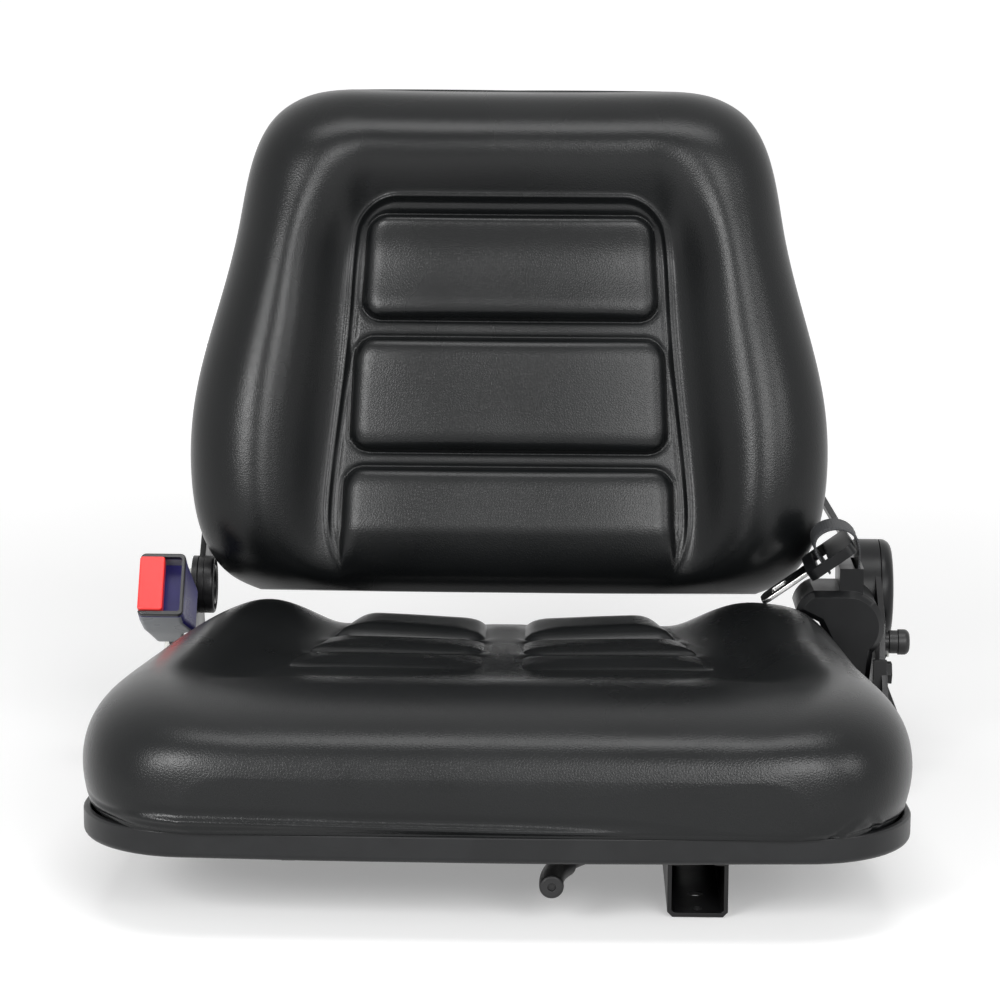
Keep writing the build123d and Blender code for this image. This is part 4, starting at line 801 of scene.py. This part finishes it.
@dataclass
class BackCushion:
    """The backrest's cushion: tall bolsters round a recess with three pads. Sizes in mm."""

    lean: float = 13.0
    foot_y: float = 455.0
    foot_z: float = 68.0
    stations: Tuple[Tuple[float, ...], ...] = (
        (-3.5, 172.0, 134.0, 28.0, 98.0, 28.0),
        (8.5, 195.0, 151.0, 52.0, 113.0, 42.0),
        (30.5, 210.0, 163.0, 68.0, 122.0, 46.0),
        (72.0, 219.0, 168.0, 76.0, 122.0, 44.0),
        (130.0, 217.0, 165.0, 77.0, 115.5, 44.0),
        (190.0, 202.5, 156.0, 75.0, 110.0, 44.0),
        (245.0, 189.0, 147.0, 73.0, 105.5, 46.0),
        (275.0, 184.0, 139.0, 72.0, 100.0, 60.0),
        (305.0, 176.0, 128.0, 70.0, 95.0, 69.0),
        (328.0, 162.0, 115.0, 57.0, 85.0, 57.0),
        (341.0, 143.0, 105.0, 39.0, 80.0, 39.0),
        (346.0, 130.0, 95.0, 20.0, 70.0, 20.0),
    )
    pads: Tuple[Tuple[float, float, float, float], ...] = (
        (-40.0, 81.0, 117.0, 113.0),
        (91.5, 170.5, 110.0, 106.5),
        (182.5, 254.5, 103.0, 98.5),
    )
    pad_rise: float = 7.0
    pillow: float = 2.8
    border_top: float = 266.0
    dip: float = 1.2
    spread: Tuple[Tuple[int, Packing], ...] = (
        (44, Packing.END),
        (16, Packing.BOTH),
        (12, Packing.START),
        (10, Packing.EVEN),
        (12, Packing.EVEN),
        (12, Packing.EVEN),
        (12, Packing.EVEN),
    )

    def pad_half(self, w: float) -> float:
        """Half width of the pads' column at a height up the back."""
        return float(np.interp(w, (0, 81, 170.5, 254.5), (116, 113, 106.5, 98.5)))

    def control(self, w: float, sizes: np.ndarray) -> np.ndarray:
        """Half of one section's control points, from the middle to the rear edge.

        Args:
            w: Height up the back.
            sizes: Half width, crest out, crest depth, recess half width, recess depth.

        Returns:
            Points (across, forward).
        """
        half, crest_x, crest_n, floor_x, floor_n = sizes
        return np.array(
            [
                (0, floor_n),
                (min(self.pad_half(w), 0.93 * floor_x), floor_n),
                (floor_x, floor_n),
                (0.5 * (crest_x + floor_x), floor_n + 0.55 * (crest_n - floor_n)),
                (crest_x, crest_n),
                (half - 0.25 * (half - crest_x), 0.8 * crest_n),
                (half, 0.42 * crest_n),
                (half - 12, 0),
            ]
        )

    def relief(self, u: np.ndarray, w: np.ndarray, floor_x: float) -> np.ndarray:
        """Pads, the grooves round them and the border of the recess.

        Args:
            u: Across.
            w: Up the back.
            floor_x: Half width of the recess there.

        Returns:
            Height over the recess.
        """
        side = np.abs(u)
        rise = np.zeros_like(u)
        groove = np.zeros_like(u)
        for low, high, low_half, high_half in self.pads:
            half = low_half + (high_half - low_half) * (w - low) / (high - low)
            inside = rounded_inside(side - half, np.maximum(low - w, w - high), 15.0)
            pillow = self.pad_rise + self.pillow * (1 - np.clip(side / half, 0, 1) ** 2)
            rise = np.maximum(rise, pillow * crown(inside, 13.0, 2.3))
            groove = np.maximum(groove, ridge(inside, 2.2))
        fade = np.clip((w - 12) / 40, 0, 1)
        border = rounded_inside(side - floor_x, w - self.border_top, 24.0)
        edge = 1.9 * ridge(border + 0.5, 1.8) - 0.9 * ridge(border - 3.6, 2.2)
        low_fade = np.clip((w - 4) / 34, 0, 1) ** 0.7
        return rise * low_fade - 1.4 * groove * fade + edge * fade

    def place(self, u: np.ndarray, n: np.ndarray, w: np.ndarray) -> np.ndarray:
        """Points of the back in the seat's frame, in mm."""
        c, s = math.cos(math.radians(self.lean)), math.sin(math.radians(self.lean))
        y = PAN_FRONT + self.foot_y - n * c + w * s
        return np.stack([u, y, PAN_Z + self.foot_z + n * s + w * c], axis=1)

    def build(self) -> bpy.types.Object:
        """Makes the cushion's skin and lets it stand for the node.

        Returns:
            The piece.
        """
        table = np.array(self.stations)
        knots = run_length(table[:, (0, 1, 3)])
        fine = np.linspace(0, knots[-1], 3000)
        w_fine = through(knots, table, fine)[:, 0]
        edges = [self.pads[0][1], *self.pads[1][:2], *self.pads[2][:2], self.border_top]
        body = np.interp(lines((26.0, 322.0, 4.0), edges, 7.0, 0.8), w_fine, fine)
        head = np.linspace(0, body[0], 18)[:-1]
        tail = np.linspace(body[-1], knots[-1], 20)[1:]
        rows: List[np.ndarray] = []
        for sizes in through(knots, table, np.concatenate([head, body, tail])):
            across = section(self.control(sizes[0], sizes[1:]), self.spread)
            u, n = across.T
            w = np.full_like(u, sizes[0])
            front = (np.abs(u) < sizes[4] + 8) & (n > 8)
            n = n + np.where(front, self.relief(u, w, sizes[4]), 0.0)
            sag = self.dip * np.clip(1 - (u / 112) ** 2, 0, 1) * np.clip((w - 280) / 50, 0, 1)
            ring = np.stack([u, n, w - sag], axis=1)
            under = np.array([(ring[-1, 0] - 14, -0.5, sizes[0]), (ring[0, 0] + 14, -0.5, sizes[0])])
            rows.append(np.vstack([ring, under]))
        below = capped(rows[:1], 10, 1.0, np.array([0.0, 0.0, -1.0]))
        above = capped(rows[-1:], 10, 1.0, np.array([0.0, 0.0, 1.0]))
        rows = below[::-1] + rows + above
        metres = [self.place(r[:, 0], r[:, 1], r[:, 2]) * MM for r in rows]
        mesh = hull(metres, metres[0].mean(axis=0), metres[-1].mean(axis=0))
        piece = make_object("back_skin", mesh, Finish.VINYL)
        settle(piece, Finish.VINYL, "backrest_cushion")
        return piece


class GeometryTree:
    """A geometry node tree with named inputs."""

    def __init__(self, name: str) -> None:
        """Makes the tree with a geometry input and output."""
        self.tree = bpy.data.node_groups.new(name, "GeometryNodeTree")
        self.tree.interface.new_socket("Geometry", in_out="INPUT", socket_type="NodeSocketGeometry")
        self.tree.interface.new_socket("Geometry", in_out="OUTPUT", socket_type="NodeSocketGeometry")
        self.source = self.tree.nodes.new("NodeGroupInput")
        self.keys: Dict[str, str] = {}

    def input(self, name: str, kind: str) -> bpy.types.NodeSocket:
        """Adds a named input and returns the socket that gives it."""
        made = self.tree.interface.new_socket(name, in_out="INPUT", socket_type=kind)
        self.keys[name] = made.identifier
        return next(s for s in self.source.outputs if s.identifier == made.identifier)

    def node(self, kind: str, settings: Dict[str, object], sockets: Dict) -> bpy.types.Node:
        """Adds a node.

        Args:
            kind: The node's type name.
            settings: Properties, set first.
            sockets: Values or source sockets by name or number.

        Returns:
            The node.
        """
        made = self.tree.nodes.new(kind)
        for key, value in settings.items():
            setattr(made, key, value)
        for key, value in sockets.items():
            if isinstance(value, bpy.types.NodeSocket):
                self.tree.links.new(value, made.inputs[key])
            else:
                made.inputs[key].default_value = value
        return made

    def finish(self, geometry: bpy.types.NodeSocket) -> None:
        """Ends the tree in Realize Instances and Set Material."""
        material = self.input("Material", "NodeSocketMaterial")
        real = self.node("GeometryNodeRealizeInstances", {}, {"Geometry": geometry})
        dressed = self.node("GeometryNodeSetMaterial", {}, {"Geometry": real.outputs[0], "Material": material})
        out = self.tree.nodes.new("NodeGroupOutput")
        self.tree.links.new(dressed.outputs[0], out.inputs[0])

    def grow(self, holder: bpy.types.Object, name: str, values: Dict[str, object]) -> bpy.types.Mesh:
        """Runs the tree on an object.

        Args:
            holder: A curve or mesh object; it is removed.
            name: Name of the new mesh.
            values: The tree's inputs by name.

        Returns:
            The grown mesh.
        """
        modifier = holder.modifiers.new("grow", "NODES")
        modifier.node_group = self.tree
        for key, value in values.items():
            modifier[self.keys[key]] = value
        return flattened(holder, name)


def path_object(name: str, points: Sequence[Point]) -> bpy.types.Object:
    """A smooth curve near points given in mm of the pan's frame.

    Args:
        name: The curve's name.
        points: The route.

    Returns:
        The curve object.
    """
    curve = bpy.data.curves.new(name, "CURVE")
    curve.dimensions = "3D"
    spline = curve.splines.new("NURBS")
    spline.points.add(len(points) - 1)
    for point, (x, y, z) in zip(spline.points, points):
        point.co = (x * MM, (y + PAN_FRONT) * MM, (z + PAN_Z) * MM, 1.0)
    spline.order_u = 3
    spline.use_endpoint_u = True
    spline.resolution_u = 8
    made = bpy.data.objects.new(name, curve)
    bpy.context.scene.collection.objects.link(made)
    return made


@dataclass
class LapBelt:
    """The retractor, the webbing's loop and the steel tongue. Sizes in mm."""

    belt_y: float = 385.0
    width: float = 37.0
    gauge: float = 1.4
    seam_inset: float = 4.0
    stitch: Tuple[float, float, float] = (3.2, 2.4, 0.3)
    route: Tuple[Tuple[float, float], ...] = (
        (236.0, 70.5),
        (236.0, 86.0),
        (237.2, 106.0),
        (236.6, 119.5),
        (229.5, 127.0),
        (217.0, 128.0),
        (206.4, 121.0),
        (207.6, 110.6),
        (213.1, 103.7),
        (217.7, 97.2),
    )

    def strap_tree(self) -> GeometryTree:
        """A flat strap along a curve, with its own length kept as an attribute."""
        tree = GeometryTree("strap")
        width = tree.input("Width", "NodeSocketFloat")
        gauge = tree.input("Gauge", "NodeSocketFloat")
        even = tree.node("GeometryNodeResampleCurve", {}, {"Curve": tree.source.outputs[0], "Count": 90})
        turned = tree.node(
            "GeometryNodeSetCurveNormal", {"mode": "FREE"}, {"Curve": even.outputs[0], "Normal": (0.0, 1.0, 0.0)}
        )
        length = tree.node("GeometryNodeSplineParameter", {}, {})
        kept = tree.node(
            "GeometryNodeStoreNamedAttribute",
            {"data_type": "FLOAT", "domain": "POINT"},
            {"Geometry": turned.outputs[0], "Name": "along", "Value": length.outputs["Length"]},
        )
        flat = tree.node(
            "GeometryNodeCurvePrimitiveQuadrilateral", {"mode": "RECTANGLE"}, {"Width": width, "Height": gauge}
        )
        soft = tree.node(
            "GeometryNodeFilletCurve", {"mode": "POLY"}, {"Curve": flat.outputs[0], "Count": 3, "Radius": 0.0005}
        )
        strap = tree.node(
            "GeometryNodeCurveToMesh", {}, {"Curve": kept.outputs[0], "Profile Curve": soft.outputs[0], "Fill Caps": True}
        )
        whole = tree.node("GeometryNodeJoinGeometry", {}, {})
        for made in (strap.outputs[0], self.seam(tree, even.outputs[0], -1.0), self.seam(tree, even.outputs[0], 1.0)):
            tree.tree.links.new(made, whole.inputs[0])
        tree.finish(whole.outputs[0])
        return tree

    def seam(self, tree: GeometryTree, curve: bpy.types.NodeSocket, side: float) -> bpy.types.NodeSocket:
        """A row of thread stitches along one edge of the strap, on its outer face.

        Args:
            tree: The strap's tree.
            curve: The strap's middle line.
            side: -1 for the front edge, 1 for the rear.

        Returns:
            The stitches.
        """
        along = tree.node("GeometryNodeInputTangent", {}, {})
        out = tree.node("ShaderNodeVectorMath", {"operation": "CROSS_PRODUCT"}, {0: (0.0, 1.0, 0.0), 1: along.outputs[0]})
        raised = tree.node("ShaderNodeVectorMath", {"operation": "SCALE"}, {0: out.outputs[0], "Scale": self.gauge * 0.5 * MM})
        beside = (0.0, side * (self.width / 2 - self.seam_inset) * MM, 0.0)
        offset = tree.node("ShaderNodeVectorMath", {"operation": "ADD"}, {0: raised.outputs[0], 1: beside})
        line = tree.node("GeometryNodeSetPosition", {}, {"Geometry": curve, "Offset": offset.outputs[0]})
        seats = tree.node("GeometryNodeCurveToPoints", {"mode": "LENGTH"}, {0: line.outputs[0], "Length": self.stitch[0] * MM})
        thread = tree.node(
            "GeometryNodeMeshCylinder", {}, {"Vertices": 6, "Radius": self.stitch[2] * MM, "Depth": self.stitch[1] * MM}
        )
        laid = tree.node(
            "GeometryNodeInstanceOnPoints",
            {},
            {"Points": seats.outputs[0], "Instance": thread.outputs[0], "Rotation": seats.outputs["Rotation"]},
        )
        return laid.outputs[0]

    def build(self) -> None:
        """Makes the webbing and the rest of the belt's near side."""
        path = path_object("strap_path", [(x, self.belt_y + 2.5, z) for x, z in self.route])
        values = {"Width": self.width * MM, "Gauge": self.gauge * MM, "Material": Finish.WEBBING.material()}
        strap = make_object("webbing_strap", self.strap_tree().grow(path, "webbing_strap", values), Finish.WEBBING, 40.0)
        settle(strap, Finish.WEBBING, "belt_webbing")
        softened("retractor_cover", Finish.COVER, 1.6, 3)
        softened("retractor_frame", Finish.PAINT, 0.5)
        softened("retractor_bolt", Finish.PAINT, 0.5)
        softened("belt_tongue", Finish.BRIGHT, 0.6)
        softened("tongue_grip", Finish.COVER, 1.0)


@dataclass
class Buckle:
    """The buckle: violet housing, black bezel, bare red press button on a steel stalk."""

    under_slope: float = -0.62

    def build(self) -> None:
        """Makes the buckle's pieces; the housing's downward-facing faces take a pale grey."""
        housing = softened("buckle_housing", Finish.VIOLET, 2.0, 3)
        # faces turned steeply downwards are marked to take the pale grey
        marks = housing.data.attributes.new("below", "FLOAT", "FACE")
        marks.data.foreach_set("value", [float(f.normal.z < self.under_slope) for f in housing.data.polygons])
        softened("buckle_bezel", Finish.BEZEL, 0.5)
        softened("buckle_button", Finish.RED, 0.8, 3)
        softened("buckle_stalk", Finish.PAINT, 0.5)
        softened("buckle_anchor_bolt", Finish.ZINC, 0.6)


@dataclass
class Undercarriage:
    """The pan, the rails under it and the slide lever."""

    edge: float = 0.5

    def build(self) -> None:
        """Makes the pieces below the cushion."""
        softened("seat_pan", Finish.PAN, 0.4)
        for node in ("right_lower_rail", "left_lower_rail", "right_upper_rail", "left_upper_rail", "slide_lever"):
            softened(node, Finish.PAINT, self.edge)
        softened("slide_lever_grip", Finish.RUBBER, 0.6)
        softened("rail_glides", Finish.NYLON, 0.3)
        softened("pan_bolts", Finish.ZINC, 0.4)
        softened("lever_pivot_bolt", Finish.ZINC, 0.4)


@dataclass
class Recliner:
    """The hinge on both sides, the backrest's arms and shell, the recline lever."""

    edge: float = 0.6

    def build(self) -> None:
        """Makes the pieces of the hinge and the backrest's rear."""
        for node in ("right_side_bracket", "left_side_bracket", "right_backrest_arm", "left_backrest_arm"):
            softened(node, Finish.PAINT, self.edge)
        softened("left_hub_ring", Finish.PAINT, 0.4)
        softened("recline_lever", Finish.PAINT, 0.5)
        softened("backrest_shell", Finish.SHELL, 1.2)
        softened("recliner_cup", Finish.COVER, 0.6)
        softened("recliner_cap", Finish.COVER, 0.6)
        softened("recline_knob", Finish.RUBBER, 0.5)
        for node in ("right_pivot_pin", "left_pivot_pin", "pawl_pin", "arm_screws"):
            softened(node, Finish.ZINC, 0.4)


@dataclass
class SoftBox:
    """A rectangular studio lamp, sizes in metres, power in watts."""

    name: str
    at: Point
    aim: Point
    size: Tuple[float, float]
    power: float

    def build(self) -> None:
        """Hangs the lamp and points it."""
        data = bpy.data.lights.new(self.name, "AREA")
        data.shape = "RECTANGLE"
        data.size, data.size_y = self.size
        data.energy = self.power
        lamp = bpy.data.objects.new(self.name, data)
        lamp.location = self.at
        lamp.rotation_euler = (Vector(self.aim) - Vector(self.at)).to_track_quat("-Z", "Y").to_euler()
        bpy.context.scene.collection.objects.link(lamp)


@dataclass
class Studio:
    """Camera, pale floor and soft light."""

    camera_at: Point = (0.037, -2.132, 0.611)
    pitch: float = 10.35
    yaw: float = 1.04
    roll: float = 0.35
    lens: float = 124.85
    ambient: float = 0.3
    boxes: Tuple[SoftBox, ...] = (
        SoftBox("overhead_box", (0.1, -0.45, 2.1), (0.05, -0.1, 0.1), (1.5, 0.7), 20.0),
        SoftBox("left_box", (-1.05, -1.74, 0.97), (0.0, 0.2, 0.35), (0.85, 0.55), 31.0),
        SoftBox("front_box", (0.76, -2.0, 1.08), (0.0, 0.2, 0.35), (1.0, 0.75), 28.0),
        SoftBox("right_box", (1.62, -1.2, 0.98), (0.0, 0.2, 0.35), (0.5, 0.5), 8.0),
    )

    def camera(self) -> None:
        """Sets the camera at the photograph's viewing angle."""
        data = bpy.data.cameras.new("camera")
        data.lens = self.lens
        data.sensor_width = 36.0
        data.clip_end = 60.0
        made = bpy.data.objects.new("camera", data)
        made.location = self.camera_at
        facing = Euler((math.radians(90 - self.pitch), 0.0, math.radians(self.yaw))).to_matrix()
        made.rotation_euler = (facing @ Matrix.Rotation(math.radians(self.roll), 3, "Z")).to_euler()
        bpy.context.scene.collection.objects.link(made)
        bpy.context.scene.camera = made

    def floor(self) -> None:
        """Lays a wide pale floor that the camera sees a little lighter."""
        sheet = Sheet("pale_floor")
        path = sheet.node("ShaderNodeLightPath", {})
        direct = sheet.math("MAXIMUM", sheet.wire(path, "Is Camera Ray"), sheet.wire(path, "Is Glossy Ray"))
        seen = sheet.math("MAXIMUM", direct, sheet.wire(path, "Is Transmission Ray"))
        cloud = sheet.span(sheet.noise(1.3, 2.0), 0.3, 0.7, 0.7, 0.72)
        tint = sheet.wire(sheet.node("ShaderNodeCombineColor", {}, {0: cloud, 1: cloud, 2: cloud}))
        x, y, _ = sheet.axes()
        away = (x * x + y * y) ** 0.5
        level = seen * sheet.span(away, 0.3, 2.2, 0.3, 0.78)
        glow = sheet.wire(sheet.node("ShaderNodeCombineColor", {}, {0: level, 1: level, 2: level}))
        sheet.surface({"Base Color": tint, "Roughness": 0.9, "Emission Color": glow, "Emission Strength": 1.0})
        mesh = bpy.data.meshes.new("floor")
        mesh.from_pydata([(-15, -15, -0.0005), (15, -15, -0.0005), (15, 15, -0.0005), (-15, 15, -0.0005)], [], [(0, 1, 2, 3)])
        mesh.materials.append(sheet.material)
        made = bpy.data.objects.new("floor", mesh)
        bpy.context.scene.collection.objects.link(made)

    def world(self) -> None:
        """A pale surround: white to the camera and in reflections, softer as light."""
        world = bpy.data.worlds.new("surround")
        world.use_nodes = True
        nodes, links = world.node_tree.nodes, world.node_tree.links
        path = nodes.new("ShaderNodeLightPath")
        first = nodes.new("ShaderNodeMath")
        second = nodes.new("ShaderNodeMath")
        level = nodes.new("ShaderNodeMapRange")
        first.operation = second.operation = "MAXIMUM"
        links.new(path.outputs["Is Camera Ray"], first.inputs[0])
        links.new(path.outputs["Is Glossy Ray"], first.inputs[1])
        links.new(first.outputs[0], second.inputs[0])
        links.new(path.outputs["Is Transmission Ray"], second.inputs[1])
        links.new(second.outputs[0], level.inputs[0])
        level.inputs[3].default_value = self.ambient
        level.inputs[4].default_value = 1.0
        links.new(level.outputs[0], nodes["Background"].inputs["Strength"])
        nodes["Background"].inputs["Color"].default_value = (1.0, 1.0, 1.0, 1.0)
        bpy.context.scene.world = world

    def build(self) -> None:
        """Sets up the whole studio."""
        scene = bpy.context.scene
        scene.view_settings.view_transform = "Standard"
        self.camera()
        self.world()
        self.floor()
        for lamp in self.boxes:
            lamp.build()


def main() -> None:
    """Builds the seat from the floor up, then the studio."""
    logging.basicConfig(level=logging.INFO, format="%(message)s")
    Studio().build()
    for part in (SeatCushion(), BackCushion(), Undercarriage(), Recliner(), LapBelt(), Buckle()):
        part.build()
        LOG.info("built %s", type(part).__name__)


if __name__ == "__main__":
    main()
